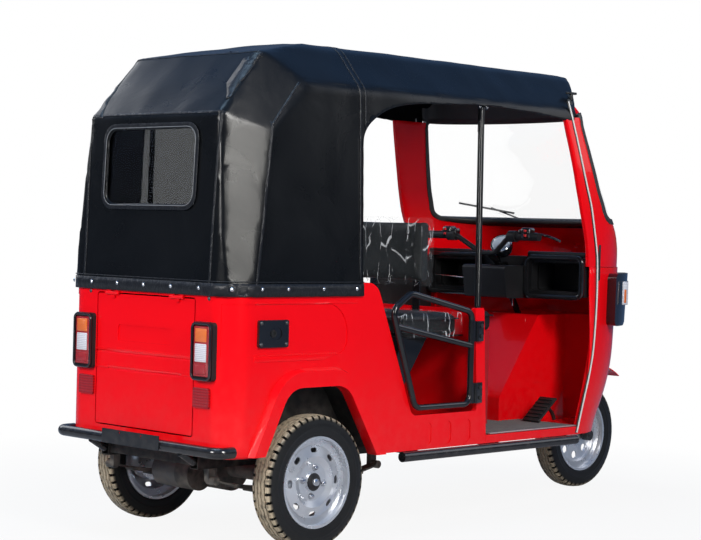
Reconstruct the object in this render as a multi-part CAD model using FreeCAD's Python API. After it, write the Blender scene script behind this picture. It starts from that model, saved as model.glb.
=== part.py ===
import FreeCAD, Part
import math
import os
from FreeCAD import Vector

# Electric auto rickshaw, three wheels, in millimetres.
# The front faces -Y, the left side is +X and the ground is z = 0.
# The origin is on the ground, in the middle of the vehicle's length and width.

# Main sizes
BODY_HALF_W = 456
WHEELBASE = 2130
REAR_AXLE_Y = 951

# Wheels and axles
FRONT_AXLE_Y = REAR_AXLE_Y - WHEELBASE
WHEEL_INSET = 19
TRACK = (BODY_HALF_W - WHEEL_INSET) * 2
TYRE_R = 241
TYRE_W = 96
RIM_FLANGE_R = 165
RIM_W = 92
RIM_T = 5
RIM_WELL_DEPTH = 22
RIM_WELL_W = 44
DISC_T = 5
DISC_OFFSET = 14
DISC_DISH = 2
DISC_BULGE = 11
DISC_BULGE_R = 92
DISC_CENTRE_R = 68
HUB_R = 34
HUB_LEN = 24
FRONT_HUB_LEN = 94
SLOT_COUNT = 8
SLOT_LEN = 30
SLOT_W = 17
SLOT_RING_R = 114
DRUM_R = 92
DRUM_W = 46
TYRE_CLEAR = 0.3

# Body shell
BODY_REAR_Y = 1363
BODY_CORNER_R = 100
WALL = 22
SILL_Z = 317
REAR_SKIRT_Z = 349
HEM_Z = 921
FLOOR_Z = 349
FLOOR_T = 8
CORNER_SEAM_Y = 1246

# Side opening behind the front post
POST_FRONT_Y = -7
POST_TOP_FRONT_Y = 24
POST_TOP_REAR_Y = 78
POST_BASE_REAR_Y = 55
POST_TOP_Z = 852
OPENING_SILL_Z = 449
OPENING_REAR_LOW_Y = 430
OPENING_REAR_TOP_Y = 639
QUARTER_TOP_Z = 952
QUARTER_STEP_Y = 718.7
OPENING_LOW_R = 35
OPENING_TOP_R = 70
POST_CORNER_R = 10

# Wheel arch
ARCH_TOP_Z = 582
ARCH_TOP_FRONT_REACH = 145
ARCH_TOP_FRONT_Y = REAR_AXLE_Y - ARCH_TOP_FRONT_REACH
ARCH_TOP_REAR_REACH = 141
ARCH_TOP_REAR_Y = REAR_AXLE_Y + ARCH_TOP_REAR_REACH
ARCH_LOW_FRONT_REACH = 308
ARCH_LOW_FRONT_Y = REAR_AXLE_Y - ARCH_LOW_FRONT_REACH
ARCH_LOW_REAR_REACH = 270
ARCH_LOW_REAR_Y = REAR_AXLE_Y + ARCH_LOW_REAR_REACH
ARCH_CORNER_R = 95
FLARE_SPREAD = 72
FLARE_OUT = 26
FLARE_EDGE = 14
WELL_DEPTH = 92
WELL_T = 4

# Pressings in the side panel
PRESS_DEPTH = 3
PRESS_LOW_Z = 696
PRESS_TOP_Z = 878
PRESS_FRONT_Y = 790
PRESS_LOW_R = 50
PRESS_TOP_R = 110
PRESS_FROM_LAMP = 12
OVAL_Y = (111, 225, 339)
OVAL_Z = 375
OVAL_W = 44
OVAL_H = 87
OVAL_R = 21

# Tailgate
GATE_INSET = 186
GATE_HALF_W = BODY_HALF_W - GATE_INSET
TAILGATE_LOW_Z = 412
TAILGATE_TOP_Z = 889
PANEL_GAP = 5
TAILGATE_CORNER_R = 8
TAILGATE_PANEL_HALF_W = 150
TAILGATE_PANEL_LOW_Z = 720
TAILGATE_PANEL_TOP_Z = 778
TAILGATE_PANEL_DEPTH = 4
TAILGATE_CREASE_Z = (679, 618)
TAILGATE_CREASE_HALF_W = (300, 205)
TAILGATE_CREASE_W = 16
HINGE_PIN_R = 2.5
HINGE_KNUCKLE_R = 6
HINGE_RUN = 24
HINGE_LEAF = 18
HINGE_X = 180
HINGE_GAP = 0.3

# Lamps on the rear
TAIL_LAMP_INSET = 123
TAIL_LAMP_X = BODY_HALF_W - TAIL_LAMP_INSET
TAIL_LAMP_W = 106
TAIL_LAMP_LOW_Z = 609
TAIL_LAMP_TOP_Z = 813
TAIL_LAMP_PROUD = 16
TAIL_LAMP_R = 14
REFLECTOR_INSET = 134
REFLECTOR_X = BODY_HALF_W - REFLECTOR_INSET
REFLECTOR_W = 84
REFLECTOR_LOW_Z = 514
REFLECTOR_TOP_Z = 584
REFLECTOR_PROUD = 9

# Front shell: height, trim line and centre line of each level
SHELL_LEVEL_STEP = 190
SHELL_TRIM_Y = (-597, -650, -689, -700, -689, -633, -582, -524, -466)
SHELL_NOSE_Y = (-963, -1084, -1128, -1140, -1150, -1001, -891, -781, -679)
SHELL_TAPER = (0, 0, 0, 0, 0, 9, 21, 35, 48)
SHELL_HALF_W = [BODY_HALF_W - taper for taper in SHELL_TAPER]
SHELL_WALL = 22
SHELL_SEAM_Z = 1014
SCREEN_INSET = 90
SCREEN_HALF_W = BODY_HALF_W - SCREEN_INSET
SCREEN_LOW_Z = 1212
SCREEN_TOP_Z = 1634
SCREEN_R = 52
SEAL_W = 18
SEAL_PROUD = 5
GLASS_T = 5
NOSE_ARCH_INSET = 206
NOSE_ARCH_HALF_W = BODY_HALF_W - NOSE_ARCH_INSET
NOSE_ARCH_TOP_Z = 625
NOSE_ARCH_R = 110

# Headlamps
HEADLAMP_INSET = 142
HEADLAMP_IN_X = BODY_HALF_W - HEADLAMP_INSET
HEADLAMP_REAR_Y = -792
HEADLAMP_LOW_Z = 766
HEADLAMP_TOP_Z = 989
HEADLAMP_PROUD = 45
HEADLAMP_CHIN_Z = 842
HEADLAMP_CHIN_Y = -905
HEADLAMP_R = 26

# Chassis
RAIL_INSET = 206
RAIL_X = BODY_HALF_W - RAIL_INSET
RAIL_W = 40
RAIL_H = 50
RAIL_WALL = 3
RAIL_FRONT_Y = -629
RAIL_REAR_Y = 1331
CROSS_Y = (-589, -89, 446, 1281)
CROSS_H = 40

# Wheel house in the footwell
HOUSE_HALF_W = 165
HOUSE_WIDE_HALF_W = 256
HOUSE_WIDE_Y = -985
HOUSE_NARROW_Y = -880
HOUSE_TOP_Z = 800
HOUSE_TOP_Y = -684
HOUSE_LOW_Z = 455
HOUSE_LOW_Y = -434
HOUSE_T = 6
HOUSE_R = 24

# Steering
RAKE_DEG = 34
FORK_OFFSET = 45
FORK_LEG_X = 74
FORK_SLIDER_R = 21
FORK_BOSS_R = 25
FORK_SLIDER_LEN = 200
FORK_TUBE_R = 16
YOKE_S = 322
YOKE_T = 18
YOKE_W = 52
STEM_R = 14
HEAD_TUBE_R = 22
HEAD_TUBE_LOW_S = 352
HEAD_TUBE_TOP_S = 560
STEM_TOP_S = 1010
FRONT_AXLE_R = 8
RUN_GAP = 0.4
HANDLEBAR_R = 11
HANDLEBAR_HALF_W = 310
HANDLEBAR_STEM_Z = 1062
HANDLEBAR_GRIP_Z = 1135
HANDLEBAR_RISER_Y = -529
HANDLEBAR_GRIP_Y = -491
HANDLEBAR_BEND_R = 60
GRIP_R = 17
GRIP_LEN = 120
SWITCH_R = 24
SWITCH_LEN = 40
LEVER_R = 5

# Front mudguard
MUDGUARD_R = 317.7
MUDGUARD_T = 4
MUDGUARD_HALF_W = 112
MUDGUARD_FRONT_DEG = 56
MUDGUARD_REAR_DEG = 114
MUDGUARD_TONGUE_DEG = 130
MUDGUARD_TONGUE_HALF_W = 44

# Partition and driver's seat
PARTITION_Y = 31
PARTITION_T = 20
PARTITION_TOP_Z = 845
SEAT_BOX_HALF_W = 215
SEAT_BOX_FRONT_Y = -299
SEAT_BOX_TOP_Z = 742
SEAT_BOX_T = 8
SEAT_RIB_COUNT = 5
SEAT_RIB_W = 14
SEAT_RIB_PROUD = 5
SEAT_FRONT_Y = -317
SEAT_TOP_Z = 824
SEAT_HALF_W = 228
CUSHION_GAP = 0.3
CUSHION_R = 18

# Passenger seats
JUMP_INSET = 71
JUMP_HALF_W = BODY_HALF_W - JUMP_INSET
JUMP_FRONT_Y = 83
JUMP_REAR_Y = 411
JUMP_LOW_Z = 744
JUMP_TOP_Z = 826
JUMP_BACK_HALF_W = 214
JUMP_BACK_LOW_Z = 938
JUMP_BACK_TOP_Z = 1191
JUMP_BACK_FRONT_Y = 75
JUMP_BACK_REAR_Y = 129
JUMP_STRAP_X = 120
JUMP_STRAP_W = 36
JUMP_STRAP_T = 6
LEG_INSET = 84
LEG_HALF_W = BODY_HALF_W - LEG_INSET
LEG_TOP_FRONT_Y = 259
LEG_TOP_REAR_Y = 403
LEG_KNEE_FRONT_Y = 466
LEG_KNEE_REAR_Y = 516
LEG_KNEE_Z = 445
LEG_T = 6
BENCH_INSET = 36
BENCH_HALF_W = BODY_HALF_W - BENCH_INSET
BENCH_FRONT_Y = 771
BENCH_REAR_Y = 1181
BENCH_LOW_Z = 744
BENCH_TOP_Z = 834
BENCH_BASE_T = 10
BENCH_BASE_INSET = 118
BENCH_BASE_HALF_W = BODY_HALF_W - BENCH_BASE_INSET
BENCH_BACK_TOP_Z = 1230
BENCH_BACK_T = 80
BENCH_BACK_LEAN = 60

# Dash
DASH_REAR_Y = -649
DASH_FRONT_Y = -829
DASH_LOW_Z = 885
DASH_TOP_Z = 1050
DASH_RIM = 22
GLOVE_IN_X = 150
GLOVE_OUT_INSET = 51
GLOVE_OUT_X = BODY_HALF_W - GLOVE_OUT_INSET
GLOVE_R = 16
CONSOLE_HALF_W = 118
CONSOLE_REAR_Y = -499
CONSOLE_LOW_Z = 870
CONSOLE_TOP_Z = 1010
CONSOLE_FRONT_Y = -749

# Canopy
CANOPY_PROUD = 7
CANOPY_T = 9
CANOPY_TOP_INSET = 26
CANOPY_TOP_HALF_W = BODY_HALF_W - CANOPY_TOP_INSET
CANOPY_SHOULDER_Z = 1660
CANOPY_SHOULDER_TOP_Z = 1818
CANOPY_SHOULDER_INSET = 156
CANOPY_SHOULDER_X = BODY_HALF_W - CANOPY_SHOULDER_INSET
CANOPY_RIDGE_Z = 1842
CANOPY_REAR_TOP_Z = 1535
CANOPY_REAR_TOP_Y = 1341
CANOPY_CREASE_Y = 1151
CANOPY_CREASE_Z = 1768
CANOPY_ROOF_REAR_Y = 771
CANOPY_FRONT_Y = -629
CANOPY_NOSE_Y = -748
CANOPY_FRONT_Z = 1822
CANOPY_NOSE_Z = 1765
CANOPY_SIDE_FRONT_Y = -548
CANOPY_CORNER_R = 104
CANOPY_SHOULDER_TOP_R = 40
CANOPY_SHOULDER_R = 90
CANOPY_HEM_LOW_Z = 903
CORNER_PANEL_INSET = 97
CORNER_PANEL_BACK = 170
CORNER_PANEL_BITE = 7
GUSSET_INSET = 112
GUSSET_DROP = 38
GUSSET_FALL = 14
DOOR_REAR_Z = 1648
DOOR_EDGE_Y = (719, 712, 694, 659, 607, 554, 471, 304, 80, -103, -347, -548)
DOOR_EDGE_Z = (1465, 1498, 1525, 1554, 1584, 1603, 1619, 1634, 1645, 1645, 1633, 1611)
REAR_WINDOW_INSET = 214
REAR_WINDOW_HALF_W = BODY_HALF_W - REAR_WINDOW_INSET
REAR_WINDOW_LOW_Z = 1219
REAR_WINDOW_TOP_Z = 1484
REAR_WINDOW_R = 42
REAR_WINDOW_T = 3

# Roof frame
HOOP_R = 13
HOOP_Y = 706
HOOP_BEND_R = 66
HOOP_SIDE_INSET = 52
HOOP_SIDE_X = BODY_HALF_W - HOOP_SIDE_INSET
HOOP_SIDE_Z = 1650
HOOP_TOP_INSET = 169
HOOP_TOP_X = BODY_HALF_W - HOOP_TOP_INSET
HOOP_TOP_Z = 1793
HOOP_FOOT_DROP = 40
POLE_R = 12.5
POLE_SHOE_IN = 2
POLE_BASE_Y = 75
POLE_TOP_Y = 15
ROOF_RAIL_X = 240
ROOF_RAIL_FRONT_Y = -615

# Bumper, plate bracket and foot tubes
BUMPER_R = 20
BUMPER_Y = 1396
BUMPER_Z = 369
BUMPER_INSET = 10
BUMPER_HALF_W = BODY_HALF_W - BUMPER_INSET
BUMPER_BEND_R = 40
BUMPER_RETURN = 70
BUMPER_ARM_INSET = 206
BUMPER_ARM_X = BODY_HALF_W - BUMPER_ARM_INSET
BUMPER_ARM_R = 14
PLATE_HALF_W = 160
PLATE_LOW_Z = 352
PLATE_TOP_Z = 404
PLATE_T = 3
PLATE_HOLE_R = 3.5
PLATE_HOLE_X = 60
PLATE_HOLE_DROP = 9
FOOT_TUBE_R = 19
FOOT_TUBE_OUT = 2
FOOT_TUBE_X = BODY_HALF_W + FOOT_TUBE_OUT
FOOT_TUBE_Z = 296
FOOT_TUBE_REAR_Y = 482
FOOT_TUBE_FRONT_Y = -586
FOOT_ARM_Y = (391, -89, -529)
FOOT_ARM_R = 10

# Charging port
PORT_FRONT_Y = 1092
PORT_REAR_Y = 1234
PORT_LOW_Z = 727
PORT_TOP_Z = 823
PORT_PROUD = 8
PORT_R = 8
PORT_HOLE_R = 14
PORT_RECESS_W = 78
PORT_RECESS_H = 42
PORT_RECESS_R = 20
PORT_RECESS_DEPTH = 4

# Axle, motor and springs
AXLE_R = 29
AXLE_TUBE_IN = 87
AXLE_HALF_LEN = TRACK / 2 - AXLE_TUBE_IN
SHAFT_OUT = 20
SHAFT_HALF_LEN = TRACK / 2 + SHAFT_OUT
STUB_R = 15
DIFF_R = 82
DIFF_X = 40
DIFF_W = 150
MOTOR_LEN = 130
MOTOR_R = 64
MOTOR_BACK = 96
MOTOR_Y = REAR_AXLE_Y + MOTOR_BACK
MOTOR_Z = 222
SPRING_INSET = 174
SPRING_X = BODY_HALF_W - SPRING_INSET
SPRING_W = 44
SPRING_LEAF_T = 7
SPRING_LEAVES = 4
SPRING_FRONT_REACH = 505
SPRING_FRONT_Y = REAR_AXLE_Y - SPRING_FRONT_REACH
SPRING_REAR_REACH = 320
SPRING_REAR_Y = REAR_AXLE_Y + SPRING_REAR_REACH
SPRING_EYE_Z = 246
SPRING_MID_Z = 196
SPRING_EYE_R = 15
LEAF_STEP_SHARE = 0.2

# Side gate of bent tube, hung on the front post
GATE_TUBE_R = 12
GATE_TUBE_OUT = 16
GATE_X = BODY_HALF_W + GATE_TUBE_OUT
GATE_TOP_REAR_Y = 471
GATE_TOP_REAR_Z = 912
GATE_TOP_FRONT_Z = 858
GATE_FRONT_Y = 117
GATE_LOW_Z = 480
GATE_REAR_LOW_Y = 433
GATE_BEND_R = 40
GATE_BAR_REAR_Z = 790
GATE_BAR_FRONT_Z = 706
GATE_LOOP_REAR_Y = 569
GATE_LOOP_REAR_Z = 850
GATE_HINGE_Y = 83
GATE_HINGE_Z = (521, 762)
GATE_HINGE_H = 80
GATE_HINGE_R = 9
GATE_LEAF_T = 5

OVERRUN = 200

UP = Vector(0, 0, 1)
ALONG_X = Vector(1, 0, 0)
ALONG_Y = Vector(0, 1, 0)


# Shape helpers
def box(x0, x1, y0, y1, z0, z1):
    return Part.makeBox(x1 - x0, y1 - y0, z1 - z0, Vector(x0, y0, z0))


def rod(start, end, radius):
    axis = end - start
    return Part.makeCylinder(radius, axis.Length, start, axis)


def mirrored(shape):
    return shape.mirror(Vector(0, 0, 0), ALONG_X)


def both_sides(shape):
    return Part.makeCompound([shape, mirrored(shape)])


def outline(points, radii):
    # Closed wire through 3-D points, each corner rounded by its own radius.
    count = len(points)
    ends = []
    arcs = []
    for i in range(count):
        corner = points[i]
        before = points[i - 1] - corner
        after = points[(i + 1) % count] - corner
        if radii[i] > 0:
            half = before.getAngle(after) / 2
            setback = radii[i] / math.tan(half)
            start = corner + before.normalize() * setback
            end = corner + after.normalize() * setback
            toward = (before + after).normalize()
            middle = corner + toward * (radii[i] / math.sin(half) - radii[i])
            ends.append((start, end))
            arcs.append(Part.Arc(start, middle, end).toShape())
        else:
            ends.append((corner, corner))
            arcs.append(None)
    edges = []
    for i in range(count):
        if arcs[i]:
            edges.append(arcs[i])
        here = ends[i][1]
        there = ends[(i + 1) % count][0]
        if (there - here).Length > HINGE_GAP:
            edges.append(Part.LineSegment(here, there).toShape())
    return Part.Wire(edges)


def prism_x(points_yz, radii, x0, x1):
    wire = outline([Vector(x0, y, z) for y, z in points_yz], radii)
    return Part.Face(wire).extrude(Vector(x1 - x0, 0, 0))


def prism_y(points_xz, radii, y0, y1):
    wire = outline([Vector(x, y0, z) for x, z in points_xz], radii)
    return Part.Face(wire).extrude(Vector(0, y1 - y0, 0))


def prism_z(points_xy, radii, z0, z1):
    wire = outline([Vector(x, y, z0) for x, y in points_xy], radii)
    return Part.Face(wire).extrude(Vector(0, 0, z1 - z0))


def slab_y(x0, x1, z0, z1, corner_r, y0, y1):
    # Plate facing along Y with four equal round corners.
    points = [(x0, z0), (x1, z0), (x1, z1), (x0, z1)]
    return prism_y(points, [corner_r] * len(points), y0, y1)


def slab_x(y0, y1, z0, z1, corner_r, x0, x1):
    points = [(y0, z0), (y1, z0), (y1, z1), (y0, z1)]
    return prism_x(points, [corner_r] * len(points), x0, x1)


def cushion(x0, x1, y0, y1, z0, z1):
    return slab_x(y0, y1, z0, z1, CUSHION_R, x0, x1)


def bent_tube(points, bend_r, tube_r):
    # Round bar along straight runs joined by tangent elbows.
    pieces = []
    start = points[0]
    for i in range(1, len(points) - 1):
        corner = points[i]
        before = (points[i - 1] - corner).normalize()
        after = (points[i + 1] - corner).normalize()
        angle = before.getAngle(after)
        setback = bend_r / math.tan(angle / 2)
        enter = corner + before * setback
        leave = corner + after * setback
        toward = (before + after).normalize()
        centre = corner + toward * (bend_r / math.sin(angle / 2))
        axis = after.cross(before)
        disc = Part.Face(Part.Wire([Part.Circle(enter, before, tube_r).toShape()]))
        pieces.append(rod(start, enter, tube_r))
        pieces.append(disc.revolve(centre, axis, 180 - math.degrees(angle)))
        start = leave
    pieces.append(rod(start, points[-1], tube_r))
    return pieces[0].fuse(pieces[1:])


def save(name, shape):
    shape.exportStep("parts/" + name + ".step")


os.makedirs("parts", exist_ok=True)


# Wheels
def revolved_about_x(points_xr, centre):
    # Closed half section of (x, radius) pairs turned about the wheel's axle.
    corners = [Vector(x, 0, r) for x, r in points_xr]
    wire = Part.makePolygon(corners + corners[:1])
    solid = Part.Face(wire).revolve(Vector(0, 0, 0), ALONG_X, 360)
    solid.translate(centre)
    return solid


def tyre(centre):
    half = TYRE_W / 2
    bead = RIM_FLANGE_R - RIM_T
    side_share = 0.45
    tread_share = 0.8
    shoulder_share = 0.93
    height = TYRE_R - bead
    foot = RIM_W / 2 - RIM_T - TYRE_CLEAR
    points = [
        (-foot, bead),
        (-foot, RIM_FLANGE_R + TYRE_CLEAR),
        (-RIM_W / 2, RIM_FLANGE_R + TYRE_CLEAR + TYRE_CLEAR),
        (-half, bead + height * side_share),
        (-half * shoulder_share, bead + height * tread_share),
        (-half * tread_share, TYRE_R - RIM_T),
        (0, TYRE_R),
        (half * tread_share, TYRE_R - RIM_T),
        (half * shoulder_share, bead + height * tread_share),
        (half, bead + height * side_share),
        (RIM_W / 2, RIM_FLANGE_R + TYRE_CLEAR + TYRE_CLEAR),
        (foot, RIM_FLANGE_R + TYRE_CLEAR),
        (foot, bead),
    ]
    return revolved_about_x(points, centre)


def rim(centre, side):
    # Pressed steel rim with a rolled disc, oval slots and a brake drum.
    half = RIM_W / 2
    seat = RIM_FLANGE_R - RIM_T - TYRE_CLEAR - RIM_T
    well = seat - RIM_WELL_DEPTH
    well_half = RIM_WELL_W / 2
    inside = well - RIM_T
    points = [
        (-half, RIM_FLANGE_R),
        (-half + RIM_T, RIM_FLANGE_R),
        (-half + RIM_T, seat + RIM_T),
        (-well_half, seat + RIM_T),
        (-well_half + RIM_T, well),
        (well_half - RIM_T, well),
        (well_half, seat + RIM_T),
        (half - RIM_T, seat + RIM_T),
        (half - RIM_T, RIM_FLANGE_R),
        (half, RIM_FLANGE_R),
        (half, seat),
        (well_half, seat),
        (well_half - RIM_T, inside),
        (-well_half + RIM_T, inside),
        (-well_half, seat),
        (-half, seat),
    ]
    barrel = revolved_about_x(points, Vector(0, 0, 0))
    face = DISC_OFFSET
    hub_face = face + DISC_DISH
    bulge = face + DISC_BULGE
    disc_points = [
        (face, inside),
        (face, SLOT_RING_R + SLOT_W),
        (bulge, DISC_BULGE_R),
        (hub_face, DISC_CENTRE_R),
        (hub_face, STUB_R + RUN_GAP),
        (hub_face + DISC_T, STUB_R + RUN_GAP),
        (hub_face + DISC_T, DISC_CENTRE_R),
        (bulge + DISC_T, DISC_BULGE_R),
        (face + DISC_T, SLOT_RING_R + SLOT_W),
        (face + DISC_T, inside),
    ]
    disc = revolved_about_x(disc_points, Vector(0, 0, 0))
    cuts = []
    flat = (SLOT_LEN - SLOT_W) / 2
    run = face + DISC_DISH + OVERRUN
    for i in range(SLOT_COUNT):
        points_yz = [(-flat, -SLOT_W / 2), (flat, -SLOT_W / 2), (flat, SLOT_W / 2), (-flat, SLOT_W / 2)]
        bar = prism_x(points_yz, [0] * len(points_yz), 0, run)
        ends = [Part.makeCylinder(SLOT_W / 2, run, Vector(0, y, 0), ALONG_X) for y in (-flat, flat)]
        slot = bar.fuse(ends)
        slot.translate(Vector(0, 0, SLOT_RING_R))
        slot.rotate(Vector(0, 0, 0), ALONG_X, 360 * i / SLOT_COUNT)
        cuts.append(slot)
    disc = disc.cut(cuts)
    drum = Part.makeCylinder(DRUM_R, DRUM_W, Vector(hub_face - DRUM_W, 0, 0), ALONG_X)
    drum = drum.cut(Part.makeCylinder(STUB_R + RUN_GAP, OVERRUN, Vector(-OVERRUN / 2, 0, 0), ALONG_X))
    hub = Part.makeCylinder(HUB_R, HUB_LEN / 2, Vector(hub_face, 0, 0), ALONG_X)
    hub = hub.cut(Part.makeCylinder(STUB_R + RUN_GAP, HUB_LEN / 2 - DISC_T, Vector(hub_face, 0, 0), ALONG_X))
    wheel = barrel.fuse([disc, drum, hub]).removeSplitter()
    if side < 0:
        wheel = mirrored(wheel)
    wheel.translate(centre)
    return wheel


REAR_LEFT = Vector(TRACK / 2, REAR_AXLE_Y, TYRE_R)
REAR_RIGHT = Vector(-TRACK / 2, REAR_AXLE_Y, TYRE_R)
FRONT_CENTRE = Vector(0, FRONT_AXLE_Y, TYRE_R)
save("rear_left_tyre", tyre(REAR_LEFT))
save("rear_left_rim", rim(REAR_LEFT, 1))
save("rear_right_tyre", tyre(REAR_RIGHT))
save("rear_right_rim", rim(REAR_RIGHT, -1))
save("front_tyre", tyre(FRONT_CENTRE))


def front_rim(centre):
    # The same barrel with a flat disc on the wheel's middle and a narrow hub.
    half = RIM_W / 2
    seat = RIM_FLANGE_R - RIM_T - TYRE_CLEAR - RIM_T
    well = seat - RIM_WELL_DEPTH
    well_half = RIM_WELL_W / 2
    inside = well - RIM_T
    web = DISC_T / 2
    hub_half = FRONT_HUB_LEN / 2
    points = [
        (-half, RIM_FLANGE_R),
        (-half + RIM_T, RIM_FLANGE_R),
        (-half + RIM_T, seat + RIM_T),
        (-well_half, seat + RIM_T),
        (-well_half + RIM_T, well),
        (well_half - RIM_T, well),
        (well_half, seat + RIM_T),
        (half - RIM_T, seat + RIM_T),
        (half - RIM_T, RIM_FLANGE_R),
        (half, RIM_FLANGE_R),
        (half, seat),
        (well_half, seat),
        (well_half - RIM_T, inside),
        (web, inside),
        (web, HUB_R),
        (hub_half, HUB_R),
        (hub_half, FRONT_AXLE_R + RUN_GAP),
        (-hub_half, FRONT_AXLE_R + RUN_GAP),
        (-hub_half, HUB_R),
        (-web, HUB_R),
        (-web, inside),
        (-well_half + RIM_T, inside),
        (-well_half, seat),
        (-half, seat),
    ]
    wheel = revolved_about_x(points, Vector(0, 0, 0))
    cuts = []
    for i in range(SLOT_COUNT):
        hole = Part.makeCylinder(SLOT_W, OVERRUN, Vector(-OVERRUN / 2, 0, SLOT_RING_R - SLOT_W), ALONG_X)
        hole.rotate(Vector(0, 0, 0), ALONG_X, 360 * i / SLOT_COUNT)
        cuts.append(hole)
    wheel = wheel.cut(cuts)
    wheel.translate(centre)
    return wheel


save("front_rim", front_rim(FRONT_CENTRE))


# Body shell
def body_plan(inset, low_z, top_z):
    # Rear body in plan: straight sides and two round rear corners.
    half = BODY_HALF_W - inset
    rear = BODY_REAR_Y - inset
    corner_r = BODY_CORNER_R - inset
    front = POST_FRONT_Y - OVERRUN
    points = [(-half, front), (half, front), (half, rear), (-half, rear)]
    return prism_z(points, [0, 0, corner_r, corner_r], low_z, top_z)


def side_profile(x0, x1):
    points = [
        (BODY_REAR_Y, REAR_SKIRT_Z),
        (BODY_REAR_Y, HEM_Z),
        (QUARTER_STEP_Y, HEM_Z),
        (QUARTER_STEP_Y, QUARTER_TOP_Z),
        (OPENING_REAR_TOP_Y, QUARTER_TOP_Z),
        (OPENING_REAR_LOW_Y, OPENING_SILL_Z),
        (POST_BASE_REAR_Y, OPENING_SILL_Z),
        (POST_TOP_REAR_Y, POST_TOP_Z),
        (POST_TOP_FRONT_Y, POST_TOP_Z),
        (POST_FRONT_Y, SILL_Z),
        (REAR_AXLE_Y, SILL_Z),
        (REAR_AXLE_Y, REAR_SKIRT_Z),
    ]
    radii = [0, 0, 0, 0, OPENING_TOP_R, OPENING_LOW_R, POST_CORNER_R, POST_CORNER_R, POST_CORNER_R, 0, 0, 0]
    return prism_x(points, radii, x0, x1)


def arch_prism(x0, x1, grow):
    # Opening round the rear wheel; grow moves every edge outward.
    low = SILL_Z - OVERRUN
    front_run = (ARCH_TOP_FRONT_Y - ARCH_LOW_FRONT_Y) / (ARCH_TOP_Z - SILL_Z)
    rear_run = (ARCH_LOW_REAR_Y - ARCH_TOP_REAR_Y) / (ARCH_TOP_Z - SILL_Z)
    points = [
        (ARCH_LOW_FRONT_Y - OVERRUN * front_run - grow, low),
        (ARCH_TOP_FRONT_Y - grow, ARCH_TOP_Z + grow),
        (ARCH_TOP_REAR_Y + grow, ARCH_TOP_Z + grow),
        (ARCH_LOW_REAR_Y + OVERRUN * rear_run + grow, low),
    ]
    return prism_x(points, [0, ARCH_CORNER_R, ARCH_CORNER_R, 0], x0, x1)


tub = body_plan(0, SILL_Z, QUARTER_TOP_Z).cut(body_plan(WALL, SILL_Z - OVERRUN, QUARTER_TOP_Z + OVERRUN))
tub = tub.common(side_profile(-BODY_HALF_W - OVERRUN, BODY_HALF_W + OVERRUN))


def flare(side):
    # Raised lip round the wheel arch, sloping down to the side panel.
    base = outline_flare(BODY_HALF_W - FLARE_EDGE, FLARE_SPREAD)
    lip = outline_flare(BODY_HALF_W + FLARE_OUT, FLARE_SPREAD - FLARE_EDGE)
    solid = Part.makeLoft([base, lip], True, True)
    keep = box(0, BODY_HALF_W + OVERRUN, 0, BODY_REAR_Y, SILL_Z, HEM_Z)
    keep = keep.cut(box(0, BODY_HALF_W + OVERRUN, REAR_AXLE_Y, BODY_REAR_Y, SILL_Z, REAR_SKIRT_Z))
    solid = solid.common(keep)
    if side < 0:
        solid = mirrored(solid)
    return solid


def outline_flare(x, spread):
    low = SILL_Z - FLARE_EDGE
    points = [
        Vector(x, ARCH_LOW_FRONT_Y - spread, low),
        Vector(x, ARCH_TOP_FRONT_Y - spread / 2, ARCH_TOP_Z + spread),
        Vector(x, ARCH_TOP_REAR_Y + spread / 2, ARCH_TOP_Z + spread),
        Vector(x, ARCH_LOW_REAR_Y + spread, low),
    ]
    corner_r = ARCH_CORNER_R + FLARE_SPREAD
    return outline(points, [0, corner_r, corner_r, 0])


def pressings():
    # Shallow sunk field behind the seat, running round to the lamp, and three ovals in the sill.
    start = TAIL_LAMP_X + TAIL_LAMP_W / 2 + PRESS_FROM_LAMP
    field = prism_x(
        [
            (PRESS_FRONT_Y, PRESS_LOW_Z), (PRESS_FRONT_Y, PRESS_TOP_Z),
            (BODY_REAR_Y + OVERRUN, PRESS_TOP_Z), (BODY_REAR_Y + OVERRUN, PRESS_LOW_Z),
        ],
        [PRESS_LOW_R, PRESS_TOP_R, 0, 0], start, BODY_HALF_W + OVERRUN)
    field = field.cut(body_plan(PRESS_DEPTH, SILL_Z, HEM_Z))
    cuts = [field]
    for y in OVAL_Y:
        cuts.append(slab_x(
            y - OVAL_W / 2, y + OVAL_W / 2, OVAL_Z - OVAL_H / 2, OVAL_Z + OVAL_H / 2, OVAL_R,
            BODY_HALF_W - PRESS_DEPTH, BODY_HALF_W + OVERRUN))
    return cuts + [mirrored(cut) for cut in cuts]


def side_panel(side):
    if side > 0:
        zone = box(0, BODY_HALF_W + OVERRUN, -OVERRUN, CORNER_SEAM_Y, 0, QUARTER_TOP_Z + OVERRUN)
    else:
        zone = box(-BODY_HALF_W - OVERRUN, 0, -OVERRUN, CORNER_SEAM_Y, 0, QUARTER_TOP_Z + OVERRUN)
    panel = tub.common(zone)
    lip = flare(side).common(zone)
    panel = panel.fuse(lip)
    panel = panel.cut(arch_prism(-BODY_HALF_W - OVERRUN, BODY_HALF_W + OVERRUN, 0))
    return panel.cut(pressings())


save("side_panel_right", side_panel(-1))
save("side_panel_left", side_panel(1))

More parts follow.
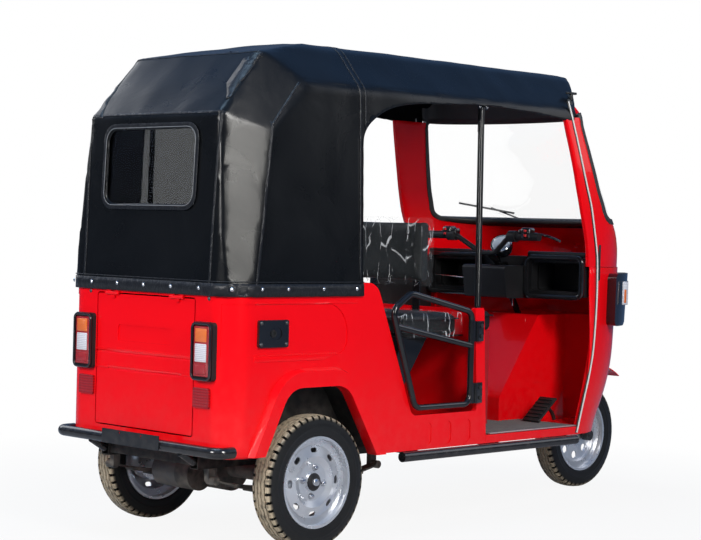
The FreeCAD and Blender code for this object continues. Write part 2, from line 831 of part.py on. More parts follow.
rear_zone = box(-BODY_HALF_W - OVERRUN, BODY_HALF_W + OVERRUN, CORNER_SEAM_Y, BODY_REAR_Y + OVERRUN, 0, HEM_Z)
tail_lips = [flare(1).common(rear_zone), flare(-1).common(rear_zone)]
rear_panel = tub.common(rear_zone).fuse(tail_lips)
rear_panel = rear_panel.cut(arch_prism(-BODY_HALF_W - OVERRUN, BODY_HALF_W + OVERRUN, 0))
gate_hole = slab_y(
    -GATE_HALF_W - PANEL_GAP, GATE_HALF_W + PANEL_GAP,
    TAILGATE_LOW_Z - PANEL_GAP, TAILGATE_TOP_Z + PANEL_GAP,
    TAILGATE_CORNER_R + PANEL_GAP, BODY_REAR_Y - OVERRUN, BODY_REAR_Y + OVERRUN)
rear_panel = rear_panel.cut([gate_hole] + pressings())
pin_y = BODY_REAR_Y + HINGE_KNUCKLE_R
pin_z = TAILGATE_TOP_Z + PANEL_GAP / 2
leaf_top = CANOPY_HEM_LOW_Z - HINGE_GAP
fixed = []
for x in (-HINGE_X, HINGE_X):
    inner = HINGE_RUN / 2 + HINGE_GAP
    outer = inner + HINGE_RUN
    fixed.append(rod(Vector(x - outer, pin_y, pin_z), Vector(x + outer, pin_y, pin_z), HINGE_PIN_R))
    for start in (x - outer, x + inner):
        end = Vector(start + HINGE_RUN, pin_y, pin_z)
        fixed.append(rod(Vector(start, pin_y, pin_z), end, HINGE_KNUCKLE_R))
        fixed.append(box(start, start + HINGE_RUN, BODY_REAR_Y, pin_y, pin_z, leaf_top))
save("rear_panel", rear_panel.fuse(fixed))

# Wheel wells inside the rear body
well_low = FLOOR_Z - FLOOR_T
well = arch_prism(BODY_HALF_W - WALL - WELL_DEPTH, BODY_HALF_W - WALL, WELL_T)
well = well.cut(arch_prism(BODY_HALF_W - WALL - WELL_DEPTH + WELL_T, BODY_HALF_W, 0))
well = well.common(box(0, BODY_HALF_W, 0, BODY_REAR_Y - WALL, well_low, HEM_Z))
save("wheel_wells", both_sides(well))

# Tailgate
tail_front_y = BODY_REAR_Y - WALL
tailgate = slab_y(
    -GATE_HALF_W, GATE_HALF_W, TAILGATE_LOW_Z, TAILGATE_TOP_Z,
    TAILGATE_CORNER_R, tail_front_y, BODY_REAR_Y)
emboss = slab_y(
    -TAILGATE_PANEL_HALF_W, TAILGATE_PANEL_HALF_W, TAILGATE_PANEL_LOW_Z, TAILGATE_PANEL_TOP_Z,
    TAILGATE_CORNER_R, BODY_REAR_Y - TAILGATE_PANEL_DEPTH, BODY_REAR_Y + OVERRUN)
tailgate = tailgate.cut(emboss)
for crease_z, crease_half in zip(TAILGATE_CREASE_Z, TAILGATE_CREASE_HALF_W):
    tailgate = tailgate.cut(prism_x(
        [
            (BODY_REAR_Y + TAILGATE_PANEL_DEPTH, crease_z + TAILGATE_CREASE_W),
            (BODY_REAR_Y - TAILGATE_PANEL_DEPTH, crease_z),
            (BODY_REAR_Y + TAILGATE_PANEL_DEPTH, crease_z - TAILGATE_CREASE_W),
        ],
        [0, 0, 0], -crease_half, crease_half))
turning = []
bores = []
for x in (-HINGE_X, HINGE_X):
    start = Vector(x - HINGE_RUN / 2, pin_y, pin_z)
    end = Vector(x + HINGE_RUN / 2, pin_y, pin_z)
    turning.append(rod(start, end, HINGE_KNUCKLE_R))
    turning.append(box(start.x, end.x, BODY_REAR_Y, pin_y, pin_z - HINGE_LEAF, pin_z))
    bores.append(rod(start, end, HINGE_PIN_R + HINGE_GAP))
save("tailgate", tailgate.fuse(turning).cut(bores))

# Tail lamps and reflectors
lamp_half = TAIL_LAMP_W / 2
lamp_body = slab_y(
    TAIL_LAMP_X - lamp_half, TAIL_LAMP_X + lamp_half, TAIL_LAMP_LOW_Z, TAIL_LAMP_TOP_Z,
    TAIL_LAMP_R, BODY_REAR_Y - WALL, BODY_REAR_Y + TAIL_LAMP_PROUD)
save("tail_lamps", both_sides(lamp_body.cut(tub)))
reflector_half = REFLECTOR_W / 2
reflector = slab_y(
    REFLECTOR_X - reflector_half, REFLECTOR_X + reflector_half, REFLECTOR_LOW_Z, REFLECTOR_TOP_Z,
    TAILGATE_CORNER_R, BODY_REAR_Y, BODY_REAR_Y + REFLECTOR_PROUD)
save("reflectors", both_sides(reflector))


# Outer form of the canopy, used for its sheet and for the header under it
def corner_panels(inset):
    # What lies outside the flat corner panel and the gusset above it.
    rear = BODY_REAR_Y + CANOPY_PROUD - CANOPY_CORNER_R
    half = BODY_HALF_W + CANOPY_PROUD - CANOPY_CORNER_R
    inner = Vector(BODY_HALF_W - CORNER_PANEL_INSET, CANOPY_REAR_TOP_Y + CANOPY_PROUD, CANOPY_REAR_TOP_Z)
    outer = Vector(CANOPY_TOP_HALF_W + CANOPY_PROUD, CANOPY_REAR_TOP_Y - CORNER_PANEL_BACK, CANOPY_REAR_TOP_Z)
    out = (inner - outer).cross(UP).normalize()
    hem = Vector(half, rear, CANOPY_HEM_LOW_Z) + out * (CANOPY_CORNER_R - CORNER_PANEL_BITE)
    upper = Vector(BODY_HALF_W - GUSSET_INSET, CANOPY_CREASE_Y, CANOPY_CREASE_Z - GUSSET_FALL)
    side = outer - Vector(0, 0, GUSSET_DROP)
    cuts = []
    for one, two, three in ((inner, outer, hem), (inner, side, upper)):
        facing = (two - one).cross(three - one).normalize()
        if facing.dot(out) < 0:
            facing = facing * -1
        middle = (one + two + three) / 3
        cuts.append(Part.makeCylinder(BODY_HALF_W, OVERRUN, middle - facing * inset, facing))
    return cuts


def canopy_body(inset):
    # Common of a side outline, a cross-section and a plan with round corners.
    side_points = [
        (BODY_REAR_Y + CANOPY_PROUD - inset, CANOPY_HEM_LOW_Z - inset),
        (CANOPY_REAR_TOP_Y + CANOPY_PROUD - inset, CANOPY_REAR_TOP_Z - inset / 2),
        (CANOPY_CREASE_Y - inset / 2, CANOPY_CREASE_Z - inset),
        (CANOPY_ROOF_REAR_Y, CANOPY_RIDGE_Z - inset),
        (CANOPY_FRONT_Y, CANOPY_FRONT_Z - inset),
        (CANOPY_NOSE_Y - CANOPY_CORNER_R, CANOPY_NOSE_Z - inset),
        (CANOPY_NOSE_Y - CANOPY_CORNER_R, CANOPY_HEM_LOW_Z - inset),
    ]
    side_radii = [0, CANOPY_SHOULDER_TOP_R, CANOPY_SHOULDER_TOP_R, BODY_HALF_W, BODY_HALF_W / 2, 0, 0]
    side_view = prism_x(side_points, side_radii, -BODY_HALF_W - OVERRUN, BODY_HALF_W + OVERRUN)
    low_half = BODY_HALF_W + CANOPY_PROUD - inset
    top_half = CANOPY_TOP_HALF_W + CANOPY_PROUD - inset
    cross_points = [
        (-low_half, CANOPY_HEM_LOW_Z - inset), (-top_half, CANOPY_SHOULDER_Z - inset),
        (-CANOPY_SHOULDER_X, CANOPY_SHOULDER_TOP_Z - inset), (0, CANOPY_RIDGE_Z - inset),
        (CANOPY_SHOULDER_X, CANOPY_SHOULDER_TOP_Z - inset), (top_half, CANOPY_SHOULDER_Z - inset),
        (low_half, CANOPY_HEM_LOW_Z - inset),
    ]
    bend = CANOPY_SHOULDER_R
    cross_radii = [0, bend, bend, BODY_HALF_W * 2, bend, bend, 0]
    cross_view = prism_y(cross_points, cross_radii, CANOPY_NOSE_Y - OVERRUN, BODY_REAR_Y + OVERRUN)
    half = BODY_HALF_W + CANOPY_PROUD - inset
    rear = BODY_REAR_Y + CANOPY_PROUD - inset
    corner_r = CANOPY_CORNER_R - inset
    plan_front = CANOPY_NOSE_Y - OVERRUN
    plan_points = [(-half, plan_front), (half, plan_front), (half, rear), (-half, rear)]
    plan_view = prism_z(
        plan_points, [0, 0, corner_r, corner_r], CANOPY_HEM_LOW_Z - OVERRUN, CANOPY_RIDGE_Z + OVERRUN)
    body = side_view.common(cross_view).common(plan_view)
    panels = corner_panels(inset)
    return body.cut(panels + [mirrored(panel) for panel in panels])


# Front shell
def level_arc(level, inset):
    # Half ellipse of one level, from the right trim line round the nose to the left.
    unit = Part.ArcOfCircle(Part.Circle(Vector(0, 0, 0), UP, 1), math.pi, math.pi * 2).toBSpline()
    trim_y = SHELL_TRIM_Y[level]
    half = SHELL_HALF_W[level] - inset
    reach = trim_y - SHELL_NOSE_Y[level] - inset
    z = SILL_Z + SHELL_LEVEL_STEP * level
    poles = [Vector(p.x * half, trim_y + p.y * reach, z) for p in unit.getPoles()]
    curve = Part.BSplineCurve()
    curve.buildFromPolesMultsKnots(
        poles, unit.getMultiplicities(), unit.getKnots(), False, unit.Degree, unit.getWeights())
    return curve.toShape(), poles[0], poles[-1]


def shell_solid(inset):
    # Everything inside the nose surface, forward of the trim line.
    wires = []
    for level in range(len(SHELL_NOSE_Y)):
        arc, right, left = level_arc(level, inset)
        wires.append(Part.Wire([arc, Part.LineSegment(left, right).toShape()]))
    return Part.makeLoft(wires, True, False)


def shell_band(outer_inset, inner_inset):
    # Curved wall between two insets of the nose surface.
    wires = []
    for level in range(len(SHELL_NOSE_Y)):
        outer, outer_right, outer_left = level_arc(level, outer_inset)
        inner, inner_right, inner_left = level_arc(level, inner_inset)
        wires.append(Part.Wire([
            outer, Part.LineSegment(outer_left, inner_left).toShape(),
            inner, Part.LineSegment(inner_right, outer_right).toShape()]))
    return Part.makeLoft(wires, True, False)


shell = shell_band(0, SHELL_WALL)
screen_hole = slab_y(
    -SCREEN_HALF_W, SCREEN_HALF_W, SCREEN_LOW_Z, SCREEN_TOP_Z, SCREEN_R,
    SHELL_NOSE_Y[0] - OVERRUN, CANOPY_FRONT_Y + OVERRUN)
nose_arch = prism_y(
    [
        (-NOSE_ARCH_HALF_W, SILL_Z - OVERRUN), (-NOSE_ARCH_HALF_W, NOSE_ARCH_TOP_Z),
        (NOSE_ARCH_HALF_W, NOSE_ARCH_TOP_Z), (NOSE_ARCH_HALF_W, SILL_Z - OVERRUN),
    ],
    [0, NOSE_ARCH_R, NOSE_ARCH_R, 0],
    SHELL_NOSE_Y[0] - OVERRUN - OVERRUN, CANOPY_FRONT_Y)
above = box(
    -BODY_HALF_W - OVERRUN, BODY_HALF_W + OVERRUN, SHELL_NOSE_Y[0] - OVERRUN - OVERRUN, OVERRUN,
    SHELL_SEAM_Z, CANOPY_RIDGE_Z)
below = box(
    -BODY_HALF_W - OVERRUN, BODY_HALF_W + OVERRUN, SHELL_NOSE_Y[0] - OVERRUN - OVERRUN, OVERRUN,
    0, SHELL_SEAM_Z)
save("front_apron", shell.common(below).cut(nose_arch))
roof_over = box(
    -BODY_HALF_W - OVERRUN, BODY_HALF_W + OVERRUN, SHELL_NOSE_Y[0] - OVERRUN - OVERRUN, OVERRUN,
    SCREEN_TOP_Z, CANOPY_RIDGE_Z + OVERRUN)
roof_over = roof_over.cut(canopy_body(CANOPY_T + HINGE_GAP))
save("windscreen_frame", shell.common(above).cut(roof_over).cut(screen_hole))
seal_cut = slab_y(
    -SCREEN_HALF_W + SEAL_W, SCREEN_HALF_W - SEAL_W, SCREEN_LOW_Z + SEAL_W, SCREEN_TOP_Z - SEAL_W,
    SCREEN_R - SEAL_W, SHELL_NOSE_Y[0] - OVERRUN, CANOPY_FRONT_Y + OVERRUN)
seal_band = shell_band(-SEAL_PROUD, SHELL_WALL + SEAL_PROUD)
save("windscreen_seal", seal_band.common(screen_hole).cut(seal_cut))
glass_in = (SHELL_WALL + GLASS_T) / 2
glass_band = shell_band(glass_in - GLASS_T, glass_in)
save("windscreen_glass", glass_band.common(seal_cut))

# Headlamps at the corners of the apron
lamp_front = SHELL_NOSE_Y[0] - OVERRUN
lamp_block = prism_x(
    [
        (HEADLAMP_REAR_Y, HEADLAMP_LOW_Z), (HEADLAMP_CHIN_Y, HEADLAMP_LOW_Z), (lamp_front, HEADLAMP_CHIN_Z),
        (lamp_front, HEADLAMP_TOP_Z), (HEADLAMP_REAR_Y, HEADLAMP_TOP_Z),
    ],
    [HEADLAMP_R, HEADLAMP_R, 0, 0, HEADLAMP_R], HEADLAMP_IN_X, BODY_HALF_W + HEADLAMP_PROUD)
lamp_skin = shell_band(-HEADLAMP_PROUD, -HINGE_GAP)
save("headlamps", both_sides(lamp_block.common(lamp_skin)))

# Floor and wheel house
floor = box(
    -BODY_HALF_W + WALL, BODY_HALF_W - WALL, POST_FRONT_Y, BODY_REAR_Y - WALL, FLOOR_Z - FLOOR_T, FLOOR_Z)
floor = floor.cut(Part.makeCompound([
    arch_prism(BODY_HALF_W - WALL - WELL_DEPTH, BODY_HALF_W, WELL_T),
    arch_prism(-BODY_HALF_W, -BODY_HALF_W + WALL + WELL_DEPTH, WELL_T)]))
rear_round = body_plan(WALL, 0, FLOOR_Z + OVERRUN)
floor = floor.common(rear_round)
front_floor = box(-BODY_HALF_W, BODY_HALF_W, SHELL_TRIM_Y[0], POST_FRONT_Y, FLOOR_Z - FLOOR_T, FLOOR_Z)
sill_edge = box(
    BODY_HALF_W - WALL, BODY_HALF_W, SHELL_TRIM_Y[0] + HINGE_GAP, POST_FRONT_Y - HINGE_GAP,
    SILL_Z, FLOOR_Z - FLOOR_T)
cabin_nose = shell_solid(SHELL_WALL + HINGE_GAP)
footwell = cabin_nose.common(
    box(-BODY_HALF_W, BODY_HALF_W, SHELL_NOSE_Y[0] - OVERRUN, SHELL_TRIM_Y[0], FLOOR_Z - FLOOR_T, FLOOR_Z))
house_front = SHELL_NOSE_Y[2] - OVERRUN
house_out = prism_x(
    [
        (house_front, SILL_Z), (house_front, HOUSE_TOP_Z),
        (HOUSE_TOP_Y, HOUSE_TOP_Z), (HOUSE_LOW_Y, HOUSE_LOW_Z), (HOUSE_LOW_Y, SILL_Z),
    ],
    [0, 0, HOUSE_R, HOUSE_R, 0], -HOUSE_WIDE_HALF_W, HOUSE_WIDE_HALF_W)
house_in = prism_x(
    [
        (house_front - OVERRUN, SILL_Z - OVERRUN), (house_front - OVERRUN, HOUSE_TOP_Z - HOUSE_T),
        (HOUSE_TOP_Y - HOUSE_T, HOUSE_TOP_Z - HOUSE_T), (HOUSE_LOW_Y - HOUSE_T, HOUSE_LOW_Z - HOUSE_T),
        (HOUSE_LOW_Y - HOUSE_T, SILL_Z - OVERRUN),
    ],
    [0, 0, HOUSE_R, HOUSE_R, 0], -HOUSE_WIDE_HALF_W, HOUSE_WIDE_HALF_W)


def house_plan(inset):
    # Plan of the wheel house: narrow between the driver's feet, wide at the nose.
    narrow = HOUSE_HALF_W - inset
    wide = HOUSE_WIDE_HALF_W - inset
    nose_y = HOUSE_WIDE_Y - OVERRUN - OVERRUN
    right = [(-wide, nose_y), (-wide, HOUSE_WIDE_Y), (-narrow, HOUSE_NARROW_Y), (-narrow, OVERRUN)]
    left = [(-x, y) for x, y in reversed(right)]
    radii = [0, HOUSE_R, HOUSE_R, 0]
    return prism_z(right + left, radii + radii, 0, HOUSE_TOP_Z + OVERRUN)


house_out = house_out.common(house_plan(0))
house_in = house_in.common(house_plan(HOUSE_T))
house = house_out.cut(house_in).common(cabin_nose.fuse(
    box(-HOUSE_HALF_W, HOUSE_HALF_W, SHELL_TRIM_Y[0] - OVERRUN, 0, 0, HOUSE_TOP_Z)))
house = house.cut(box(
    -HOUSE_WIDE_HALF_W, HOUSE_WIDE_HALF_W, house_front, 0, 0, FLOOR_Z - FLOOR_T))
RAKE = math.radians(RAKE_DEG)
STEER_UP = Vector(0, math.sin(RAKE), math.cos(RAKE))
STEER_FRONT = Vector(0, -math.cos(RAKE), math.sin(RAKE))
STEER_BASE = FRONT_CENTRE - STEER_FRONT * FORK_OFFSET


def on_stem(s, forward=0, x=0):
    # Point at distance s up the steering axis, then forward and to the side.
    return STEER_BASE + STEER_UP * s + STEER_FRONT * forward + Vector(x, 0, 0)


head_tube_hole = rod(on_stem(HEAD_TUBE_LOW_S), on_stem(STEM_TOP_S), HEAD_TUBE_R + RUN_GAP)
house = house.cut(head_tube_hole)
floor = floor.fuse([front_floor, footwell, sill_edge, mirrored(sill_edge)])
floor = floor.cut(house_in).fuse(house)
save("floor_pan", floor.removeSplitter())

# Chassis: two box rails, cross members, head tube and its two braces
rails = []
for side in (-1, 1):
    x0 = side * RAIL_X - RAIL_W / 2
    top = FLOOR_Z - FLOOR_T
    rail = box(x0, x0 + RAIL_W, RAIL_FRONT_Y, RAIL_REAR_Y, top - RAIL_H, top)
    bore = box(
        x0 + RAIL_WALL, x0 + RAIL_W - RAIL_WALL, RAIL_FRONT_Y - RAIL_W, RAIL_REAR_Y + RAIL_W,
        top - RAIL_H + RAIL_WALL, top - RAIL_WALL)
    rails.append(rail.cut(bore))
crosses = []
for y in CROSS_Y:
    crosses.append(box(
        -RAIL_X + RAIL_W / 2, RAIL_X - RAIL_W / 2, y, y + RAIL_W,
        FLOOR_Z - FLOOR_T - CROSS_H, FLOOR_Z - FLOOR_T))
head_tube = rod(on_stem(HEAD_TUBE_LOW_S), on_stem(HEAD_TUBE_TOP_S), HEAD_TUBE_R)
head_bore = rod(on_stem(0), on_stem(STEM_TOP_S), STEM_R + RUN_GAP)
braces = []
for side in (-1, 1):
    start = Vector(
        side * (HOUSE_HALF_W - RAIL_W), RAIL_FRONT_Y + RAIL_W + RAIL_W, FLOOR_Z - FLOOR_T - RAIL_W / 2)
    braces.append(rod(start, on_stem((HEAD_TUBE_LOW_S + HEAD_TUBE_TOP_S) / 2), STEM_R))
chassis = rails[0].fuse([rails[1]] + crosses + braces + [head_tube]).cut(head_bore)
save("chassis_frame", chassis)

# Fork: yoke, legs, axle and stem
legs = []
yoke_mid = YOKE_S + YOKE_T / 2
for side in (-1, 1):
    x = side * FORK_LEG_X
    legs.append(rod(on_stem(0, FORK_OFFSET, x), on_stem(FORK_SLIDER_LEN, FORK_OFFSET, x), FORK_SLIDER_R))
    legs.append(rod(on_stem(FORK_BOSS_R, FORK_OFFSET, x), on_stem(yoke_mid, FORK_OFFSET, x), FORK_TUBE_R))
    legs.append(rod(
        Vector(side * (FORK_LEG_X - FORK_TUBE_R), FRONT_AXLE_Y, TYRE_R),
        Vector(side * (FORK_LEG_X + FORK_TUBE_R), FRONT_AXLE_Y, TYRE_R), FORK_BOSS_R))
front_axle = rod(
    Vector(-FORK_LEG_X, FRONT_AXLE_Y, TYRE_R), Vector(FORK_LEG_X, FRONT_AXLE_Y, TYRE_R), FRONT_AXLE_R)
yoke = box(
    -FORK_LEG_X - FORK_SLIDER_R, FORK_LEG_X + FORK_SLIDER_R,
    -YOKE_W, YOKE_W / 2, 0, YOKE_T)
yoke.rotate(Vector(0, 0, 0), ALONG_X, -RAKE_DEG)
yoke.translate(on_stem(YOKE_S))
stem = rod(on_stem(yoke_mid), on_stem(STEM_TOP_S), STEM_R)
fork = legs[0].fuse(legs[1:] + [front_axle, yoke, stem])
save("fork", fork.removeSplitter())

# Front mudguard, its tongue bolted under the yoke
guard_outer = MUDGUARD_R + MUDGUARD_T
guard_side = FRONT_CENTRE - Vector(MUDGUARD_HALF_W, 0, 0)
ring = Part.makeCylinder(guard_outer, MUDGUARD_HALF_W * 2, guard_side, ALONG_X)
ring = ring.cut(Part.makeCylinder(MUDGUARD_R, MUDGUARD_HALF_W * 2, guard_side, ALONG_X))
reach = guard_outer * 2


def ray_point(deg):
    turn = math.radians(deg)
    return FRONT_CENTRE + Vector(0, -math.cos(turn), math.sin(turn)) * reach


def guard_wedge(front_deg, rear_deg, half_w):
    points = [FRONT_CENTRE, ray_point(front_deg), ray_point(rear_deg)]
    return prism_x([(p.y, p.z) for p in points], [0, 0, 0], -half_w, half_w)


blade = ring.common(guard_wedge(MUDGUARD_FRONT_DEG, MUDGUARD_REAR_DEG, MUDGUARD_HALF_W))
middle_deg = (MUDGUARD_FRONT_DEG + MUDGUARD_REAR_DEG) / 2
tongue = ring.common(guard_wedge(middle_deg, MUDGUARD_TONGUE_DEG, MUDGUARD_TONGUE_HALF_W))
save("front_mudguard", blade.fuse(tongue).removeSplitter())

# Handlebar with grips, switch blocks and levers
bar_points = [
    Vector(-HANDLEBAR_HALF_W, HANDLEBAR_GRIP_Y, HANDLEBAR_GRIP_Z),
    Vector(-HANDLEBAR_HALF_W + GRIP_LEN + SWITCH_LEN, HANDLEBAR_GRIP_Y, HANDLEBAR_GRIP_Z),
    Vector(-SWITCH_LEN, HANDLEBAR_RISER_Y, HANDLEBAR_STEM_Z),
    Vector(SWITCH_LEN, HANDLEBAR_RISER_Y, HANDLEBAR_STEM_Z),
    Vector(HANDLEBAR_HALF_W - GRIP_LEN - SWITCH_LEN, HANDLEBAR_GRIP_Y, HANDLEBAR_GRIP_Z),
    Vector(HANDLEBAR_HALF_W, HANDLEBAR_GRIP_Y, HANDLEBAR_GRIP_Z),
]
bar = bent_tube(bar_points, HANDLEBAR_BEND_R, HANDLEBAR_R)
clamp = rod(on_stem(STEM_TOP_S - SWITCH_R), Vector(0, HANDLEBAR_RISER_Y, HANDLEBAR_STEM_Z), STEM_R)
pieces = [clamp]
for side in (-1, 1):
    grip_end = Vector(side * HANDLEBAR_HALF_W, HANDLEBAR_GRIP_Y, HANDLEBAR_GRIP_Z)
    grip_start = grip_end - Vector(side * GRIP_LEN, 0, 0)
    switch_start = grip_start - Vector(side * SWITCH_LEN, 0, 0)
    lever_root = switch_start + Vector(0, -SWITCH_R, 0)
    lever_tip = grip_end + Vector(-side * SWITCH_R, -SWITCH_R - GRIP_R, 0)
    pieces.append(rod(grip_start, grip_end, GRIP_R))
    pieces.append(rod(switch_start, grip_start, SWITCH_R))
    pieces.append(rod(lever_root, lever_tip, LEVER_R))
handlebar = bar.fuse(pieces)
handlebar = handlebar.cut(rod(on_stem(YOKE_S), on_stem(STEM_TOP_S), STEM_R))
save("handlebar", handlebar)

# Partition behind the driver, seat box and driver's cushion
partition = box(
    -BODY_HALF_W + WALL, BODY_HALF_W - WALL, PARTITION_Y, PARTITION_Y + PARTITION_T, FLOOR_Z, PARTITION_TOP_Z)
save("partition", partition)
seat_box = box(-SEAT_BOX_HALF_W, SEAT_BOX_HALF_W, SEAT_BOX_FRONT_Y, PARTITION_Y, FLOOR_Z, SEAT_BOX_TOP_Z)
seat_void = box(
    -SEAT_BOX_HALF_W + SEAT_BOX_T, SEAT_BOX_HALF_W - SEAT_BOX_T,
    SEAT_BOX_FRONT_Y + SEAT_BOX_T, PARTITION_Y - SEAT_BOX_T,
    FLOOR_Z - FLOOR_T, SEAT_BOX_TOP_Z - SEAT_BOX_T)
seat_box = seat_box.cut(seat_void)
ribs = []
rib_pitch = (PARTITION_Y - SEAT_BOX_FRONT_Y) / (SEAT_RIB_COUNT + 1)
for i in range(SEAT_RIB_COUNT):
    y0 = SEAT_BOX_FRONT_Y + rib_pitch * (i + 1) - SEAT_RIB_W / 2
    ribs.append(box(
        -SEAT_BOX_HALF_W - SEAT_RIB_PROUD, SEAT_BOX_HALF_W + SEAT_RIB_PROUD, y0, y0 + SEAT_RIB_W,
        FLOOR_Z, SEAT_BOX_TOP_Z).cut(
            box(-SEAT_BOX_HALF_W, SEAT_BOX_HALF_W, y0, y0 + SEAT_RIB_W, FLOOR_Z, SEAT_BOX_TOP_Z)))
save("driver_seat_box", seat_box.fuse(ribs).removeSplitter())
save("driver_cushion", cushion(
    -SEAT_HALF_W, SEAT_HALF_W, SEAT_FRONT_Y, PARTITION_Y - CUSHION_GAP,
    SEAT_BOX_TOP_Z + CUSHION_GAP, SEAT_TOP_Z))

# Rear-facing passenger seat on the partition
save("jump_seat_cushion", cushion(
    -JUMP_HALF_W, JUMP_HALF_W, JUMP_FRONT_Y, JUMP_REAR_Y, JUMP_LOW_Z, JUMP_TOP_Z))
leg_points = [
    (LEG_TOP_FRONT_Y, JUMP_LOW_Z - CUSHION_GAP), (LEG_TOP_REAR_Y, JUMP_LOW_Z - CUSHION_GAP),
    (LEG_KNEE_REAR_Y, LEG_KNEE_Z), (LEG_KNEE_REAR_Y, FLOOR_Z),
    (LEG_KNEE_FRONT_Y, FLOOR_Z), (LEG_KNEE_FRONT_Y, LEG_KNEE_Z),
]
leg = prism_x(leg_points, [0] * len(leg_points), -LEG_HALF_W, LEG_HALF_W)
tray = box(
    -LEG_HALF_W, LEG_HALF_W, PARTITION_Y + PARTITION_T, LEG_TOP_REAR_Y,
    JUMP_LOW_Z - CUSHION_GAP - LEG_T, JUMP_LOW_Z - CUSHION_GAP)
save("jump_seat_frame", leg.fuse(tray).removeSplitter())
save("jump_seat_backrest", cushion(
    -JUMP_BACK_HALF_W, JUMP_BACK_HALF_W, JUMP_BACK_FRONT_Y, JUMP_BACK_REAR_Y,
    JUMP_BACK_LOW_Z, JUMP_BACK_TOP_Z))
strap = box(
    JUMP_STRAP_X - JUMP_STRAP_W / 2, JUMP_STRAP_X + JUMP_STRAP_W / 2,
    PARTITION_Y + PARTITION_T, PARTITION_Y + PARTITION_T + JUMP_STRAP_T,
    PARTITION_TOP_Z - JUMP_STRAP_W, JUMP_BACK_TOP_Z - JUMP_STRAP_W)
strap_head = box(
    JUMP_STRAP_X - JUMP_STRAP_W / 2, JUMP_STRAP_X + JUMP_STRAP_W / 2,
    PARTITION_Y + PARTITION_T, JUMP_BACK_FRONT_Y - CUSHION_GAP,
    JUMP_BACK_LOW_Z + JUMP_STRAP_W, JUMP_BACK_TOP_Z - JUMP_STRAP_W)
save("backrest_straps", both_sides(strap.fuse(strap_head).removeSplitter()))

# Rear bench
bench_low = BENCH_LOW_Z - CUSHION_GAP
base = box(-BENCH_BASE_HALF_W, BENCH_BASE_HALF_W, BENCH_FRONT_Y, BENCH_REAR_Y, FLOOR_Z, bench_low)
base_void = box(
    -BENCH_BASE_HALF_W + BENCH_BASE_T, BENCH_BASE_HALF_W - BENCH_BASE_T,
    BENCH_FRONT_Y + BENCH_BASE_T, BENCH_REAR_Y - BENCH_BASE_T, FLOOR_Z - FLOOR_T, bench_low - BENCH_BASE_T)
save("rear_bench_base", base.cut(base_void))
save("rear_bench_cushion", cushion(
    -BENCH_HALF_W, BENCH_HALF_W, BENCH_FRONT_Y - CUSHION_R, BENCH_REAR_Y, BENCH_LOW_Z, BENCH_TOP_Z))
back_top_y = BENCH_REAR_Y + BENCH_BACK_LEAN
back = prism_x(
    [
        (BENCH_REAR_Y - BENCH_BACK_T, BENCH_TOP_Z + CUSHION_GAP), (BENCH_REAR_Y, BENCH_TOP_Z + CUSHION_GAP),
        (back_top_y, BENCH_BACK_TOP_Z), (back_top_y - BENCH_BACK_T, BENCH_BACK_TOP_Z),
    ],
    [CUSHION_R, CUSHION_R, CUSHION_R, CUSHION_R], -BENCH_HALF_W + CUSHION_R, BENCH_HALF_W - CUSHION_R)
save("rear_bench_backrest", back)

# Dashboard with two open trays, and the steering column console
dash = box(-BODY_HALF_W, BODY_HALF_W, DASH_FRONT_Y, DASH_REAR_Y, DASH_LOW_Z, DASH_TOP_Z)
dash_fit = cabin_nose.fuse(box(
    -BODY_HALF_W + SHELL_WALL, BODY_HALF_W - SHELL_WALL, SHELL_TRIM_Y[2], DASH_REAR_Y,
    DASH_LOW_Z, DASH_TOP_Z))
dash = dash.common(dash_fit)
glove = slab_y(
    GLOVE_IN_X, GLOVE_OUT_X, DASH_LOW_Z + DASH_RIM, DASH_TOP_Z - DASH_RIM, GLOVE_R,
    DASH_FRONT_Y + DASH_RIM, DASH_REAR_Y + OVERRUN)
dash = dash.cut([glove, mirrored(glove)])
stem_way = rod(on_stem(HEAD_TUBE_TOP_S), on_stem(STEM_TOP_S + OVERRUN), HEAD_TUBE_R + HEAD_TUBE_R)
dash = dash.cut(stem_way)
save("dashboard", dash.removeSplitter())
console = prism_x(
    [
        (CONSOLE_FRONT_Y, CONSOLE_LOW_Z), (CONSOLE_FRONT_Y, CONSOLE_TOP_Z),
        (CONSOLE_REAR_Y, CONSOLE_TOP_Z), (CONSOLE_REAR_Y - DASH_RIM, CONSOLE_LOW_Z),
    ],
    [0, 0, GLOVE_R, GLOVE_R], -CONSOLE_HALF_W, CONSOLE_HALF_W)
console = console.cut(dash_fit.common(dash)).cut(stem_way)
save("column_console", console)


# Canopy
canopy = canopy_body(0).cut(canopy_body(CANOPY_T))
door_edge = [Vector(-BODY_HALF_W - OVERRUN, y, z) for y, z in zip(DOOR_EDGE_Y, DOOR_EDGE_Z)]
door_curve = Part.BSplineCurve()
door_curve.interpolate(door_edge)
below_rear = Vector(door_edge[0].x, door_edge[0].y, CANOPY_HEM_LOW_Z - OVERRUN)
front_top = door_edge[-1] - Vector(0, OVERRUN + OVERRUN, 0)
below_front = Vector(front_top.x, front_top.y, CANOPY_HEM_LOW_Z - OVERRUN)
door_sides = Part.makePolygon([door_edge[-1], front_top, below_front, below_rear, door_edge[0]])
door = Part.Face(Part.Wire([door_curve.toShape()] + door_sides.Edges))
door = door.extrude(Vector((BODY_HALF_W + OVERRUN) * 2, 0, 0))
canopy = canopy.cut(door)
nose_half = CANOPY_TOP_HALF_W + CANOPY_PROUD
nose_right = Vector(-nose_half, CANOPY_SIDE_FRONT_Y, 0)
nose_left = Vector(nose_half, CANOPY_SIDE_FRONT_Y, 0)
nose = Part.Wire([
    Part.Arc(nose_right, Vector(0, CANOPY_NOSE_Y, 0), nose_left).toShape(),
    Part.LineSegment(nose_left, nose_right).toShape()])
nose_plan = Part.Face(nose).extrude(Vector(0, 0, CANOPY_RIDGE_Z + OVERRUN))
